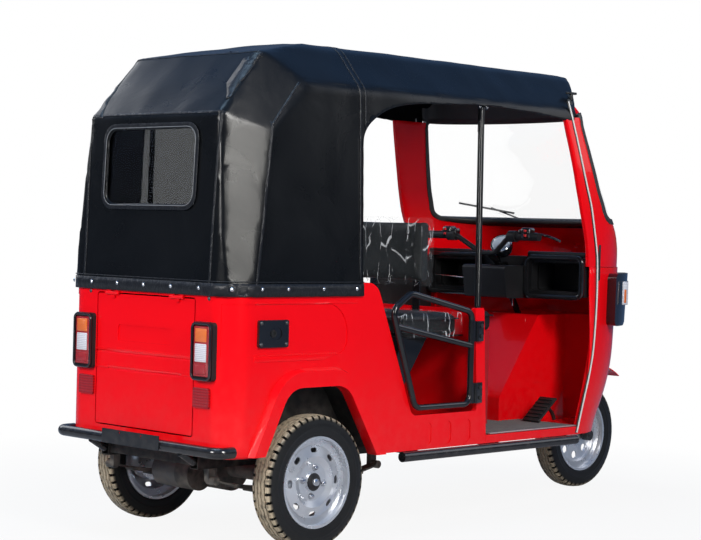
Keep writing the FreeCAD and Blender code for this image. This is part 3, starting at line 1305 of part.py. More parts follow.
behind_nose = box(
    -BODY_HALF_W - OVERRUN, BODY_HALF_W + OVERRUN, CANOPY_SIDE_FRONT_Y, BODY_REAR_Y + OVERRUN,
    0, CANOPY_RIDGE_Z + OVERRUN)
canopy = canopy.common(nose_plan.fuse(behind_nose))
canopy = canopy.cut(body_plan(-HINGE_GAP, 0, HEM_Z + HINGE_GAP))
window_hole = slab_y(
    -REAR_WINDOW_HALF_W, REAR_WINDOW_HALF_W, REAR_WINDOW_LOW_Z, REAR_WINDOW_TOP_Z, REAR_WINDOW_R,
    CORNER_SEAM_Y, BODY_REAR_Y + OVERRUN)
canopy = canopy.cut(window_hole)
save("canopy", canopy)
pane_shell = canopy_body((CANOPY_T - REAR_WINDOW_T) / 2).cut(canopy_body((CANOPY_T + REAR_WINDOW_T) / 2))
save("rear_window", pane_shell.common(window_hole))

# Roof frame: hoop behind the door, side poles and roof rails
def hoop_points(y, foot_z):
    # Follows the canopy's cross-section from one foot to the other.
    half = [(HOOP_SIDE_X, foot_z), (HOOP_SIDE_X, HOOP_SIDE_Z), (HOOP_TOP_X, HOOP_TOP_Z)]
    return [Vector(-x, y, z) for x, z in half] + [Vector(x, y, z) for x, z in reversed(half)]


hoop = bent_tube(hoop_points(HOOP_Y, HEM_Z - HOOP_FOOT_DROP), HOOP_BEND_R, HOOP_R)
hoop_clamp = box(
    HOOP_SIDE_X, BODY_HALF_W - WALL - HINGE_GAP, HOOP_Y - HOOP_R, HOOP_Y + HOOP_R,
    HEM_Z - HOOP_FOOT_DROP, HEM_Z)
front_hoop = bent_tube(hoop_points(POLE_TOP_Y, DOOR_REAR_Z - CANOPY_CORNER_R), HOOP_BEND_R, HOOP_R)
pole_foot = Vector(BODY_HALF_W - WALL / 2, POLE_BASE_Y - WALL, POST_TOP_Z + PANEL_GAP)
shoe_foot = pole_foot - Vector(0, 0, PANEL_GAP - HINGE_GAP)
pole_shoe = rod(shoe_foot, pole_foot + Vector(0, 0, PANEL_GAP), POLE_R - POLE_SHOE_IN)
pole_head = Vector(HOOP_SIDE_X, POLE_TOP_Y, DOOR_REAR_Z)
pole = rod(pole_foot, pole_head, POLE_R)
rail_rear = Vector(ROOF_RAIL_X, HOOP_Y - HOOP_R - HINGE_GAP, HOOP_TOP_Z)
roof_rail = rod(rail_rear, Vector(ROOF_RAIL_X, ROOF_RAIL_FRONT_Y, HOOP_TOP_Z), HOOP_R)
save("rear_hoop", hoop.fuse([hoop_clamp, mirrored(hoop_clamp)]))
frame_sides = [pole, pole_shoe, roof_rail]
roof_frame = front_hoop.fuse(frame_sides + [mirrored(piece) for piece in frame_sides])
save("roof_frame", roof_frame)

# Rear bumper on two arms, with the plate bracket
bumper_front = BUMPER_Y - BUMPER_RETURN
bumper = bent_tube(
    [
        Vector(-BUMPER_HALF_W, bumper_front, BUMPER_Z), Vector(-BUMPER_HALF_W, BUMPER_Y, BUMPER_Z),
        Vector(BUMPER_HALF_W, BUMPER_Y, BUMPER_Z), Vector(BUMPER_HALF_W, bumper_front, BUMPER_Z),
    ],
    BUMPER_BEND_R, BUMPER_R)
arms = []
for side in (-1, 1):
    arms.append(rod(
        Vector(side * BUMPER_ARM_X, RAIL_REAR_Y, FLOOR_Z - FLOOR_T - RAIL_H / 2),
        Vector(side * BUMPER_ARM_X, BUMPER_Y, BUMPER_Z - BUMPER_ARM_R), BUMPER_ARM_R))
clear_body = body_plan(-HINGE_GAP, REAR_SKIRT_Z - HINGE_GAP, HEM_Z)
bumper = bumper.fuse(arms).cut(clear_body)
save("rear_bumper", bumper)
plate_y = BUMPER_Y + BUMPER_R
plate = slab_y(-PLATE_HALF_W, PLATE_HALF_W, PLATE_LOW_Z, PLATE_TOP_Z, PLATE_T, plate_y, plate_y + PLATE_T)
holes = []
for side in (-1, 1):
    hole_start = Vector(side * PLATE_HOLE_X, plate_y - PLATE_T / 2, PLATE_TOP_Z - PLATE_HOLE_DROP)
    holes.append(Part.makeCylinder(PLATE_HOLE_R, PLATE_T + PLATE_T, hole_start, ALONG_Y))
save("plate_bracket", plate.cut(holes))

# Foot tubes under the sills
foot_tube = rod(
    Vector(FOOT_TUBE_X, FOOT_TUBE_REAR_Y, FOOT_TUBE_Z),
    Vector(FOOT_TUBE_X, FOOT_TUBE_FRONT_Y, FOOT_TUBE_Z), FOOT_TUBE_R)
foot_arms = []
for y in FOOT_ARM_Y:
    foot_arms.append(rod(
        Vector(RAIL_X + RAIL_W / 2 + HINGE_GAP, y, FOOT_TUBE_Z + FOOT_ARM_R),
        Vector(FOOT_TUBE_X, y, FOOT_TUBE_Z + FOOT_ARM_R), FOOT_ARM_R))
save("foot_tubes", both_sides(foot_tube.fuse(foot_arms)))

# Charging port on the right side
port_out = -BODY_HALF_W - PORT_PROUD
port_seat = -BODY_HALF_W + PRESS_DEPTH
port = slab_x(PORT_FRONT_Y, PORT_REAR_Y, PORT_LOW_Z, PORT_TOP_Z, PORT_R, port_out, port_seat)
port_mid_y = (PORT_FRONT_Y + PORT_REAR_Y) / 2
port_mid_z = (PORT_LOW_Z + PORT_TOP_Z) / 2
port_start = Vector(port_out - PORT_R, port_mid_y, port_mid_z)
port_hole = Part.makeCylinder(PORT_HOLE_R, PORT_PROUD + WALL, port_start, ALONG_X)
port_recess = slab_x(
    port_mid_y - PORT_RECESS_W / 2, port_mid_y + PORT_RECESS_W / 2,
    port_mid_z - PORT_RECESS_H / 2, port_mid_z + PORT_RECESS_H / 2, PORT_RECESS_R,
    port_out - PORT_R, port_out + PORT_RECESS_DEPTH)
port_hole = port_hole.fuse(port_recess)
save("charging_port", port.cut(port_hole))

# Rear axle with gear housing, motor and springs
axle = rod(Vector(-AXLE_HALF_LEN, REAR_AXLE_Y, TYRE_R), Vector(AXLE_HALF_LEN, REAR_AXLE_Y, TYRE_R), AXLE_R)
shaft = rod(Vector(-SHAFT_HALF_LEN, REAR_AXLE_Y, TYRE_R), Vector(SHAFT_HALF_LEN, REAR_AXLE_Y, TYRE_R), STUB_R)
diff_side = DIFF_X + DIFF_W / 2
housing = rod(
    Vector(DIFF_X - DIFF_W / 2, REAR_AXLE_Y, TYRE_R), Vector(diff_side, REAR_AXLE_Y, TYRE_R), DIFF_R)
gear_case = rod(Vector(DIFF_X, MOTOR_Y, MOTOR_Z), Vector(diff_side, MOTOR_Y, MOTOR_Z), MOTOR_R)
save("rear_axle", axle.fuse([shaft, housing, gear_case]).removeSplitter())
motor = rod(
    Vector(diff_side, MOTOR_Y, MOTOR_Z), Vector(diff_side + MOTOR_LEN, MOTOR_Y, MOTOR_Z), MOTOR_R)
save("drive_motor", motor.cut(axle))


def leaf(level):
    # One arched leaf; lower leaves are shorter.
    shrink = (SPRING_REAR_Y - SPRING_FRONT_Y) * LEAF_STEP_SHARE * level / 2
    y0 = SPRING_FRONT_Y + shrink
    y1 = SPRING_REAR_Y - shrink
    rise = (SPRING_EYE_Z - SPRING_MID_Z)
    drop = SPRING_LEAF_T * level
    mid_y = (SPRING_FRONT_Y + SPRING_REAR_Y) / 2
    half = (SPRING_REAR_Y - SPRING_FRONT_Y) / 2

    def height(y):
        return SPRING_MID_Z + rise * ((y - mid_y) / half) ** 2 - drop

    x0 = SPRING_X - SPRING_W / 2
    low_t = Vector(0, 0, SPRING_LEAF_T)
    a = Vector(x0, y0, height(y0))
    b = Vector(x0, mid_y, height(mid_y))
    c = Vector(x0, y1, height(y1))
    lower = Part.Arc(a, b, c).toShape()
    upper = Part.Arc(a + low_t, b + low_t, c + low_t).toShape()
    wire = Part.Wire([
        lower, Part.LineSegment(c, c + low_t).toShape(), upper, Part.LineSegment(a + low_t, a).toShape()])
    return Part.Face(wire).extrude(Vector(SPRING_W, 0, 0))


spring = leaf(0).fuse([leaf(i) for i in range(1, SPRING_LEAVES)])
eyes = []
for y in (SPRING_FRONT_Y, SPRING_REAR_Y):
    eye_centre = Vector(SPRING_X - SPRING_W / 2, y, SPRING_EYE_Z + SPRING_LEAF_T / 2)
    eyes.append(rod(eye_centre, eye_centre + Vector(SPRING_W, 0, 0), SPRING_EYE_R))
    rail_side = RAIL_X + RAIL_W / 2
    eyes.append(box(
        rail_side - SPRING_EYE_R, rail_side + SPRING_EYE_R / 2, y - SPRING_EYE_R, y + SPRING_EYE_R,
        SPRING_EYE_Z, FLOOR_Z - FLOOR_T - RAIL_H))
pad = box(
    SPRING_X - SPRING_W / 2, SPRING_X + SPRING_W / 2, REAR_AXLE_Y - AXLE_R, REAR_AXLE_Y + AXLE_R,
    SPRING_MID_Z, TYRE_R)
spring = spring.fuse(eyes + [pad]).cut(axle)
save("leaf_springs", both_sides(spring.removeSplitter()))


# Side gate on the right, with its two hinges
def gate_shape():
    x = -GATE_X
    loop = [
        Vector(x, GATE_FRONT_Y, GATE_LOW_Z + GATE_BEND_R * 2),
        Vector(x, GATE_FRONT_Y, GATE_TOP_FRONT_Z - GATE_BEND_R / 2),
        Vector(x, GATE_TOP_REAR_Y, GATE_TOP_REAR_Z), Vector(x, GATE_LOOP_REAR_Y, GATE_LOOP_REAR_Z),
        Vector(x, GATE_REAR_LOW_Y, GATE_LOW_Z), Vector(x, GATE_FRONT_Y, GATE_LOW_Z),
        Vector(x, GATE_FRONT_Y, GATE_LOW_Z + GATE_BEND_R * 2),
    ]
    ring_tube = bent_tube(loop, GATE_BEND_R, GATE_TUBE_R)
    bar_rear = Vector(x, GATE_LOOP_REAR_Y - GATE_BEND_R / 2, GATE_BAR_REAR_Z)
    solids = [rod(Vector(x, GATE_FRONT_Y, GATE_BAR_FRONT_Z), bar_rear, GATE_TUBE_R)]
    leaf_half = GATE_HINGE_H / 2 - HINGE_GAP
    for z in GATE_HINGE_Z:
        solids.append(box(
            x - GATE_LEAF_T / 2, x + GATE_LEAF_T / 2, GATE_HINGE_Y, GATE_FRONT_Y,
            z - leaf_half, z + leaf_half))
    gate = ring_tube.fuse(solids)
    return gate


gate = gate_shape()
barrels = []
for z in GATE_HINGE_Z:
    barrel_foot = Vector(-GATE_X, GATE_HINGE_Y, z - GATE_HINGE_H / 2)
    barrels.append(Part.makeCylinder(GATE_HINGE_R, GATE_HINGE_H, barrel_foot, UP))
    barrels.append(box(
        -GATE_X, -BODY_HALF_W, POST_FRONT_Y + WALL, GATE_HINGE_Y, z - GATE_HINGE_H / 2, z + GATE_HINGE_H / 2))
hinges = Part.makeCompound([barrels[0].fuse(barrels[1]), barrels[2].fuse(barrels[3])])
clear = []
for z in GATE_HINGE_Z:
    clear_foot = Vector(-GATE_X, GATE_HINGE_Y, z - GATE_HINGE_H)
    clear.append(Part.makeCylinder(GATE_HINGE_R + RUN_GAP, GATE_HINGE_H + GATE_HINGE_H, clear_foot, UP))
save("side_gate", gate.cut(clear))
save("gate_hinges", hinges)
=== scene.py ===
import math

import bmesh
import bpy
from mathutils import Matrix, Vector, noise


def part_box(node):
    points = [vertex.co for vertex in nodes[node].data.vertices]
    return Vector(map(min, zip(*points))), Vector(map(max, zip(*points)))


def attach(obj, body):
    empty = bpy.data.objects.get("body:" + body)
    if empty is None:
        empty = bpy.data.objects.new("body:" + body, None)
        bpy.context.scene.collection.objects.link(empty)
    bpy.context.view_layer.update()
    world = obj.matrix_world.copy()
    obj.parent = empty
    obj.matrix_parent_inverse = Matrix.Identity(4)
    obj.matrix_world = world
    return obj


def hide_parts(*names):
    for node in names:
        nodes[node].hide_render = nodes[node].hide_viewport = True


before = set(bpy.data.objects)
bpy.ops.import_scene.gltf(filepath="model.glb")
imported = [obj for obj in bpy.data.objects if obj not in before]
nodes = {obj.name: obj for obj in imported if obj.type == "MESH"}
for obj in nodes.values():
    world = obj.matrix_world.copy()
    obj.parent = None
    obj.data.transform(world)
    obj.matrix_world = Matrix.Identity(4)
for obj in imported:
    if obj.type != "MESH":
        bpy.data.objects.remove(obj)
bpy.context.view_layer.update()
scene = bpy.context.scene


# Red body sheets: pressed and welded steel, primed and sprayed in a glossy red.
# The paint is even, with a fine orange peel and faint dust low down.
def add_node(tree, kind, values=None, **settings):
    made = tree.nodes.new("ShaderNode" + kind)
    for title, value in settings.items():
        setattr(made, title, value)
    for title, value in (values or {}).items():
        made.inputs[title].default_value = value
    return made


def wire(tree, *links):
    # Each link is a node, its output, the next node and its input.
    for start, out, end, into in links:
        tree.links.new(start.outputs[out], end.inputs[into])


def new_material(name, values):
    material = bpy.data.materials.new(name)
    material.use_nodes = True
    shader = material.node_tree.nodes["Principled BSDF"]
    for title, value in values.items():
        shader.inputs[title].default_value = value
    return material, material.node_tree, shader


def new_group(name, inputs, outputs):
    group = bpy.data.node_groups.new(name, "ShaderNodeTree")
    for title, start in inputs.items():
        kind = "NodeSocketColor" if isinstance(start, tuple) else "NodeSocketFloat"
        socket = group.interface.new_socket(name=title, in_out="INPUT", socket_type=kind)
        socket.default_value = start
    for title, kind in outputs.items():
        group.interface.new_socket(name=title, in_out="OUTPUT", socket_type="NodeSocket" + kind)
    return group, group.nodes.new("NodeGroupInput"), group.nodes.new("NodeGroupOutput")


def surface_group():
    group, given, made = new_group(
        "worn_surface",
        {
            "Colour": (0.5, 0.5, 0.5, 1), "Shade": (0.4, 0.4, 0.4, 1), "Dust Colour": (0.34, 0.30, 0.25, 1),
            "Dust": 0.1, "Gloss Low": 0.2, "Gloss High": 0.3, "Patch Scale": 6.0, "Grain Scale": 900.0,
            "Grain Depth": 0.02,
        },
        {"Colour": "Color", "Roughness": "Float", "Normal": "Vector"})
    place = add_node(group, "TexCoord")
    patches = add_node(group, "TexNoise", {"Detail": 4})
    grain = add_node(group, "TexNoise", {"Detail": 3})
    tone = add_node(group, "Mix", data_type="RGBA")
    spot = add_node(group, "SeparateXYZ")
    low = add_node(group, "MapRange", {"From Min": 0.75, "From Max": 0.15})
    specks = add_node(group, "MapRange", {"From Min": 0.35, "From Max": 0.75})
    fine = add_node(group, "TexNoise", {"Scale": 34, "Detail": 8})
    amount = add_node(group, "Math", operation="MULTIPLY")
    dusty = add_node(group, "Math", operation="MULTIPLY")
    cover = add_node(group, "Mix", data_type="RGBA")
    rough = add_node(group, "MapRange")
    dull = add_node(group, "Math", operation="ADD", use_clamp=True)
    bump = add_node(group, "Bump", {"Distance": 0.001})
    wire(
        group, (place, "Object", patches, "Vector"), (place, "Object", grain, "Vector"),
        (given, "Patch Scale", patches, "Scale"), (given, "Grain Scale", grain, "Scale"),
        (patches, "Fac", tone, "Factor"), (given, "Colour", tone, "A"), (given, "Shade", tone, "B"),
        (place, "Object", spot, "Vector"), (spot, "Z", low, "Value"), (place, "Object", fine, "Vector"),
        (fine, "Fac", specks, "Value"), (low, "Result", amount, 0), (specks, "Result", amount, 1),
        (amount, "Value", dusty, 0), (given, "Dust", dusty, 1), (dusty, "Value", cover, "Factor"),
        (tone, "Result", cover, "A"), (given, "Dust Colour", cover, "B"), (patches, "Fac", rough, "Value"),
        (given, "Gloss Low", rough, "To Min"), (given, "Gloss High", rough, "To Max"),
        (rough, "Result", dull, 0), (dusty, "Value", dull, 1), (grain, "Fac", bump, "Height"),
        (given, "Grain Depth", bump, "Strength"), (cover, "Result", made, "Colour"),
        (dull, "Value", made, "Roughness"), (bump, "Normal", made, "Normal"))
    return group


worn = surface_group()


def finish(name, colour, shade, gloss, patch=6.0, grain=(900.0, 0.02), dust=0.1, metal=0.0, coat=0.0,
           specular=0.5):
    material, tree, shader = new_material(name, {
        "Metallic": metal, "Coat Weight": coat, "Coat Roughness": 0.04, "Specular IOR Level": specular})
    look = add_node(
        tree, "Group", {
            "Colour": (*colour, 1), "Shade": (*shade, 1), "Dust": dust, "Gloss Low": gloss[0],
            "Gloss High": gloss[1], "Patch Scale": patch, "Grain Scale": grain[0], "Grain Depth": grain[1],
        }, node_tree=worn)
    wire(
        tree, (look, "Colour", shader, "Base Color"), (look, "Roughness", shader, "Roughness"),
        (look, "Normal", shader, "Normal"))
    return material


def dress(material, *names):
    for name in names:
        for place in nodes[name].material_slots:
            place.material = material


red_paint = finish(
    "red_paint", (0.74, 0.0015, 0.005), (0.68, 0.0015, 0.004), (0.18, 0.25), patch=2.2, grain=(420, 0.02),
    dust=0.05, coat=0.32, specular=0.10)
dress(
    red_paint, "side_panel_left", "side_panel_right", "rear_panel", "tailgate", "front_apron",
    "windscreen_frame", "floor_pan", "partition", "front_mudguard")
deep_red = finish(
    "seat_box_red", (0.36, 0.008, 0.014), (0.28, 0.006, 0.010), (0.34, 0.46), patch=5, grain=(600, 0.06),
    specular=0.2)
dress(deep_red, "driver_seat_box")


# Black enamelled tube and strip: roof frame, gate, bumper, foot tubes, jump seat and plate bracket.
# Welded steel, dipped in a gloss black that shows a few dull patches.
black_enamel = finish(
    "black_enamel", (0.004, 0.004, 0.0045), (0.008, 0.008, 0.009), (0.14, 0.24), patch=14,
    grain=(700, 0.03), dust=0.08, coat=0.2, specular=0.35)
dress(
    black_enamel, "roof_frame", "rear_hoop", "side_gate", "gate_hinges", "rear_bumper", "foot_tubes",
    "plate_bracket", "jump_seat_frame", "backrest_straps", "fork")
frame_black = finish(
    "frame_black", (0.006, 0.006, 0.006), (0.012, 0.011, 0.010), (0.42, 0.62), patch=9, grain=(260, 0.18),
    dust=0.16, specular=0.2)
dress(frame_black, "chassis_frame", "wheel_wells", "rear_bench_base")


# Moulded black plastic: handlebar covers, steering console, dash and tail lamp housings.
# Injection moulded, with a fine leather-like texture.
black_moulding = finish(
    "black_moulding", (0.007, 0.007, 0.0075), (0.012, 0.012, 0.013), (0.32, 0.46), patch=8,
    grain=(1400, 0.12), dust=0.06, specular=0.3)
dress(black_moulding, "handlebar", "column_console", "dashboard", "tail_lamps")


# Running gear: welded axle, drawn spring leaves and the plain round motor under the body.
# Bare or thinly painted metal, brown with road dirt.
axle_metal = finish(
    "axle_metal", (0.030, 0.030, 0.031), (0.075, 0.066, 0.055), (0.45, 0.7), patch=12, grain=(300, 0.3),
    dust=0.6, metal=0.4)
dress(axle_metal, "rear_axle", "leaf_springs")
motor_metal = finish(
    "motor_metal", (0.13, 0.13, 0.13), (0.08, 0.075, 0.07), (0.4, 0.6), patch=11, grain=(380, 0.3),
    dust=0.5, metal=0.6)
dress(motor_metal, "drive_motor")


# Windscreen, its rubber seal and the clear rear window sheet.
# Laminated glass in a black rubber section, and a flexible clear sheet sewn into the canopy.
def clear_finish(name, colour, rough, alpha, ripple, transmission=1.0):
    material, tree, shader = new_material(name, {
        "Base Color": (*colour, 1), "Transmission Weight": transmission, "IOR": 1.45, "Alpha": alpha})
    place = add_node(tree, "TexCoord")
    wave = add_node(tree, "TexNoise", {"Scale": ripple[0], "Detail": 5})
    bump = add_node(tree, "Bump", {"Strength": ripple[1], "Distance": 0.01})
    haze = add_node(tree, "MapRange", {"To Min": rough, "To Max": rough + 0.05})
    wire(
        tree, (place, "Object", wave, "Vector"), (wave, "Fac", bump, "Height"), (wave, "Fac", haze, "Value"),
        (haze, "Result", shader, "Roughness"), (bump, "Normal", shader, "Normal"))
    return material


screen_glass = clear_finish("screen_glass", (0.93, 0.97, 0.96), 0.0, 0.07, (2.0, 0.004))
dress(screen_glass, "windscreen_glass")
window_sheet = clear_finish("window_sheet", (0.80, 0.84, 0.86), 0.02, 0.09, (7.0, 0.12))
dress(window_sheet, "rear_window")
seal_rubber = finish(
    "seal_rubber", (0.012, 0.012, 0.012), (0.020, 0.020, 0.020), (0.5, 0.65), patch=20, grain=(900, 0.1),
    dust=0.2)
dress(seal_rubber, "windscreen_seal")


# Canopy: one sheet of black coated cloth over the hoops, welded from panels and studded to the body.
# The cloth is soft, so it shows shallow drapes and puckers near the seams and between the studs.
def add_piece(name, shape, material, body="body", crease=40):
    mesh = bpy.data.meshes.new(name)
    shape.to_mesh(mesh)
    shape.free()
    mesh.materials.append(material)
    mesh.shade_smooth()
    mesh.set_sharp_from_angle(angle=math.radians(crease))
    made = bpy.data.objects.new(name, mesh)
    scene.collection.objects.link(made)
    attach(made, body)
    return made


def merged_copy(node):
    shape = bmesh.new()
    shape.from_mesh(nodes[node].data)
    bmesh.ops.remove_doubles(shape, verts=shape.verts, dist=1e-5)
    return shape


def cut_plane(shape, at, facing, drop=True):
    # Cut along a plane, and drop what lies on the side that it faces.
    bmesh.ops.bisect_plane(
        shape, geom=shape.verts[:] + shape.edges[:] + shape.faces[:], plane_co=at, plane_no=facing,
        clear_outer=drop)


def slice_evenly(shape, steps):
    for axis, (start, end, step) in enumerate(steps):
        count = int((end - start) / step)
        facing = Vector((0, 0, 0))
        facing[axis] = 1
        for index in range(1, count):
            cut_plane(shape, facing * (start + index * (end - start) / count), facing, False)


def smoothed(shape, verts, factor):
    bmesh.ops.smooth_vert(
        shape, verts=verts, factor=factor, use_axis_x=True, use_axis_y=True, use_axis_z=True)


def thicken(piece, thickness, offset=-1):
    wall = piece.modifiers.new("thickness", "SOLIDIFY")
    wall.thickness = thickness
    wall.offset = offset
    return wall


def leather_group():
    group, given, made = new_group(
        "leather_grain", {"Scale": 700.0, "Depth": 0.2, "Fold Scale": 9.0, "Fold Depth": 0.3},
        {"Mask": "Float", "Normal": "Vector"})
    place = add_node(group, "TexCoord")
    cells = add_node(group, "TexVoronoi", feature="DISTANCE_TO_EDGE")
    folds = add_node(group, "TexNoise", {"Detail": 5, "Distortion": 0.6})
    fine = add_node(group, "Bump", {"Distance": 0.0006})
    soft = add_node(group, "Bump", {"Distance": 0.02})
    wire(
        group, (place, "Object", cells, "Vector"), (place, "Object", folds, "Vector"),
        (given, "Scale", cells, "Scale"), (given, "Fold Scale", folds, "Scale"),
        (cells, "Distance", fine, "Height"), (given, "Depth", fine, "Strength"),
        (folds, "Fac", soft, "Height"), (given, "Fold Depth", soft, "Strength"),
        (fine, "Normal", soft, "Normal"), (folds, "Fac", made, "Mask"), (soft, "Normal", made, "Normal"))
    return group


leather = leather_group()


def vinyl(name, colour, shade, gloss, grain, fold):
    material, tree, shader = new_material(name, {"Specular IOR Level": 0.24})
    hide = add_node(
        tree, "Group", {"Scale": grain[0], "Depth": grain[1], "Fold Scale": fold[0], "Fold Depth": fold[1]},
        node_tree=leather)
    tone = add_node(tree, "Mix", {"A": (*colour, 1), "B": (*shade, 1)}, data_type="RGBA")
    dull = add_node(
        tree, "MapRange", {"From Min": 0.3, "From Max": 0.7, "To Min": gloss[0], "To Max": gloss[1]})
    wire(
        tree, (hide, "Mask", tone, "Factor"), (hide, "Mask", dull, "Value"),
        (tone, "Result", shader, "Base Color"), (dull, "Result", shader, "Roughness"),
        (hide, "Normal", shader, "Normal"))
    return material


# The black cloth is tinted slightly blue, a painted tint of the sky's reflection.
canopy_vinyl = vinyl(
    "canopy_vinyl", (0.0015, 0.0018, 0.0022), (0.003, 0.0034, 0.004), (0.25, 0.33), (620, 0.10), (4.2, 0.13))
canopy = merged_copy("canopy")
inner = []
for face in canopy.faces:
    middle = face.calc_center_median()
    core = Vector((0, max(-0.82, min(1.15, middle.y)), max(0.9, min(1.62, middle.z))))
    out = middle - core
    if face.normal.dot(out.normalized()) < 0.25:
        inner.append(face)
bmesh.ops.delete(canopy, geom=inner, context="FACES")
cell = 0.03
hem_z = 0.903
fixed_z = 0.966
slice_evenly(canopy, ((-0.47, 0.47, cell), (-0.81, 1.38, cell), (0.9, 1.845, cell)))
bmesh.ops.remove_doubles(canopy, verts=canopy.verts, dist=0.002)
rim = {vert for edge in canopy.edges if edge.is_boundary for vert in edge.verts}
free = [vert for vert in canopy.verts if vert not in rim and vert.co.z > fixed_z]
for _ in range(3):
    smoothed(canopy, free, 0.5)
canopy.normal_update()
for vert in free:
    at = vert.co
    upright = abs(vert.normal.z) < 0.5
    drape = noise.noise(Vector((at.x * 9, at.y * 9, at.z * (2.4 if upright else 9))) + Vector((3, 1, 7)))
    broad = noise.noise(at * 3.1)
    pull = min(1.0, max(0.0, (at.z - hem_z) / 0.05)) if upright else 1.0
    vert.co = at + vert.normal * (0.0022 * drape + 0.0026 * broad) * pull
canopy_copy = canopy.copy()
canopy_sheet = add_piece("canopy_sheet", canopy, canopy_vinyl, crease=75)
cloth_backing = finish(
    "cloth_backing", (0.002, 0.002, 0.002), (0.004, 0.004, 0.004), (0.9, 1.0), patch=12, grain=(900, 0.3),
    specular=0.03)
canopy_sheet.data.materials.append(cloth_backing)
thicken(canopy_sheet, 0.0025).material_offset = 1
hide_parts("canopy")


# Hem of the canopy: a doubled strip along the bottom edge, a fine piping above it and a patch at each
# rear corner. The strip is the same cloth folded over and drawn tight to the body.
def cut_band(source, planes, keep):
    # Part of the sheet between planes, as its own strip.
    strip = source.copy()
    for at, facing in planes:
        cut_plane(strip, at, facing)
    lost = [face for face in strip.faces if not keep(face.calc_center_median())]
    bmesh.ops.delete(strip, geom=lost, context="FACES")
    return strip


def lift(strip, height):
    strip.normal_update()
    for vert in strip.verts:
        vert.co += vert.normal * height
    return strip


def cloth_strip(name, strip, thick, lifted):
    made = add_piece(name, lift(strip, lifted), seam_vinyl, crease=70)
    thicken(made, thick)


def rounded(shape, geom, width, steps, affect="EDGES"):
    bmesh.ops.bevel(shape, geom=geom, offset=width, segments=steps, profile=0.5, affect=affect, material=-1)


def put_at(shape, centre, angle=0.0, axis="X"):
    # Turned about an axis through the origin, then moved into place.
    turn = Matrix.Rotation(angle, 3, axis)
    bmesh.ops.rotate(shape, cent=(0, 0, 0), matrix=turn, verts=shape.verts)
    bmesh.ops.translate(shape, vec=centre, verts=shape.verts)
    return shape


def soft_block(size, centre, radius, steps=3):
    shape = bmesh.new()
    bmesh.ops.create_cube(shape, size=1)
    bmesh.ops.scale(shape, vec=size, verts=shape.verts)
    rounded(shape, shape.edges[:], radius, steps)
    bmesh.ops.translate(shape, vec=centre, verts=shape.verts)
    return shape


sides = ((-1, "right"), (1, "left"))
up, down = Vector((0, 0, 1)), Vector((0, 0, -1))
seam_vinyl = vinyl(
    "seam_vinyl", (0.006, 0.0065, 0.008), (0.010, 0.011, 0.013), (0.30, 0.42), (620, 0.2), (40.0, 0.25))
hem = cut_band(canopy_copy, ((0.948 * up, up),), lambda c: c.z < 0.949)
cloth_strip("canopy_hem", hem, 0.005, 0.0040)
piping = cut_band(canopy_copy, ((0.956 * up, up), (0.9525 * up, down)), lambda c: c.z < 0.957)
cloth_strip("canopy_hem_piping", piping, 0.003, 0.0044)
for side, word in sides:
    patch = soft_block((0.046, 0.005, 0.040), (0, 0, 0), 0.002, 2)
    put_at(patch, (side * 0.4475, 1.3055, 0.9235), -side * math.radians(65), "Z")
    add_piece("hem_corner_" + word, patch, seam_vinyl)


# Welded seams of the canopy: over the hoop, down both sides of each corner panel, along the roof edge
# and round the gusset. Each is a narrow lapped strip that stands slightly proud.
def seam(name, one, two, across, width, keep):
    # Strip along the line from one to two, between planes that hold the direction across.
    at = Vector(one)
    facing = (Vector(two) - at).cross(Vector(across)).normalized()
    planes = ((at + facing * width / 2, facing), (at - facing * width / 2, -facing))
    cloth_strip(name, cut_band(canopy_copy, planes, keep), 0.003, 0.0014)


seam("seam_hoop_rear", (0.3, 0.735, 0), (-0.3, 0.735, 0), (0, 0, 1), 0.009, lambda c: c.z > 0.95)
seam("seam_hoop_front", (0.3, 0.708, 0), (-0.3, 0.708, 0), (0, 0, 1), 0.007, lambda c: c.z > 1.52)
for side, word in sides:
    corner_low = (side * 0.350, 1.37, 0.93)
    corner_top = (side * 0.359, 1.348, 1.54)
    side_low = (side * 0.463, 1.25, 0.94)
    side_top = (side * 0.437, 1.171, 1.50)
    seam(
        "seam_corner_rear_" + word, corner_low, corner_top, (0, 1, 0), 0.010,
        lambda c, s=side: c.x * s > 0.2 and c.y > 1.25 and c.z < 1.545)
    seam(
        "seam_corner_side_" + word, side_low, side_top, (1, 0, 0), 0.010,
        lambda c, s=side: c.x * s > 0.3 and c.y > 1.1 and c.z < 1.51)
    seam(
        "seam_gusset_top_" + word, corner_top, (side * 0.344, 1.151, 1.754), (1, 0, 0.2), 0.009,
        lambda c, s=side: c.x * s > 0.30 and c.x * s < 0.40 and c.z > 1.53 and c.y > 1.14)
    seam(
        "seam_gusset_side_" + word, side_top, (side * 0.428, 1.05, 1.64), (1, 0, 0), 0.009,
        lambda c, s=side: c.x * s > 0.38 and 1.50 < c.z < 1.66 and c.y > 1.03)
seam(
    "seam_rear_edge", (0.4, 1.348, 1.540), (-0.4, 1.348, 1.540), (0, 1, 0), 0.008,
    lambda c: c.y > 1.3 and abs(c.x) < 0.36)
seam("seam_roof_edge", (0.4, 1.151, 1.77), (-0.4, 1.151, 1.77), (0, 0, 1), 0.008, lambda c: c.z > 1.74)
canopy_copy.free()


# Studs of the hem: domed nickel caps, one about every 150 mm, and two dark screws lower down.
# Each cap is turned, with a rolled lip, and presses the hem against the body.
def spun(points, axis, steps):
    shape = bmesh.new()
    verts = [shape.verts.new(at) for at in points]
    edges = [shape.edges.new(pair) for pair in zip(verts, verts[1:])]
    bmesh.ops.spin(
        shape, geom=verts + edges, cent=(0, 0, 0), axis=axis, angle=math.tau, steps=steps, use_merge=True,
        dvec=(0, 0, 0))
    bmesh.ops.remove_doubles(shape, verts=shape.verts, dist=1e-6)
    bmesh.ops.recalc_face_normals(shape, faces=shape.faces)
    return shape


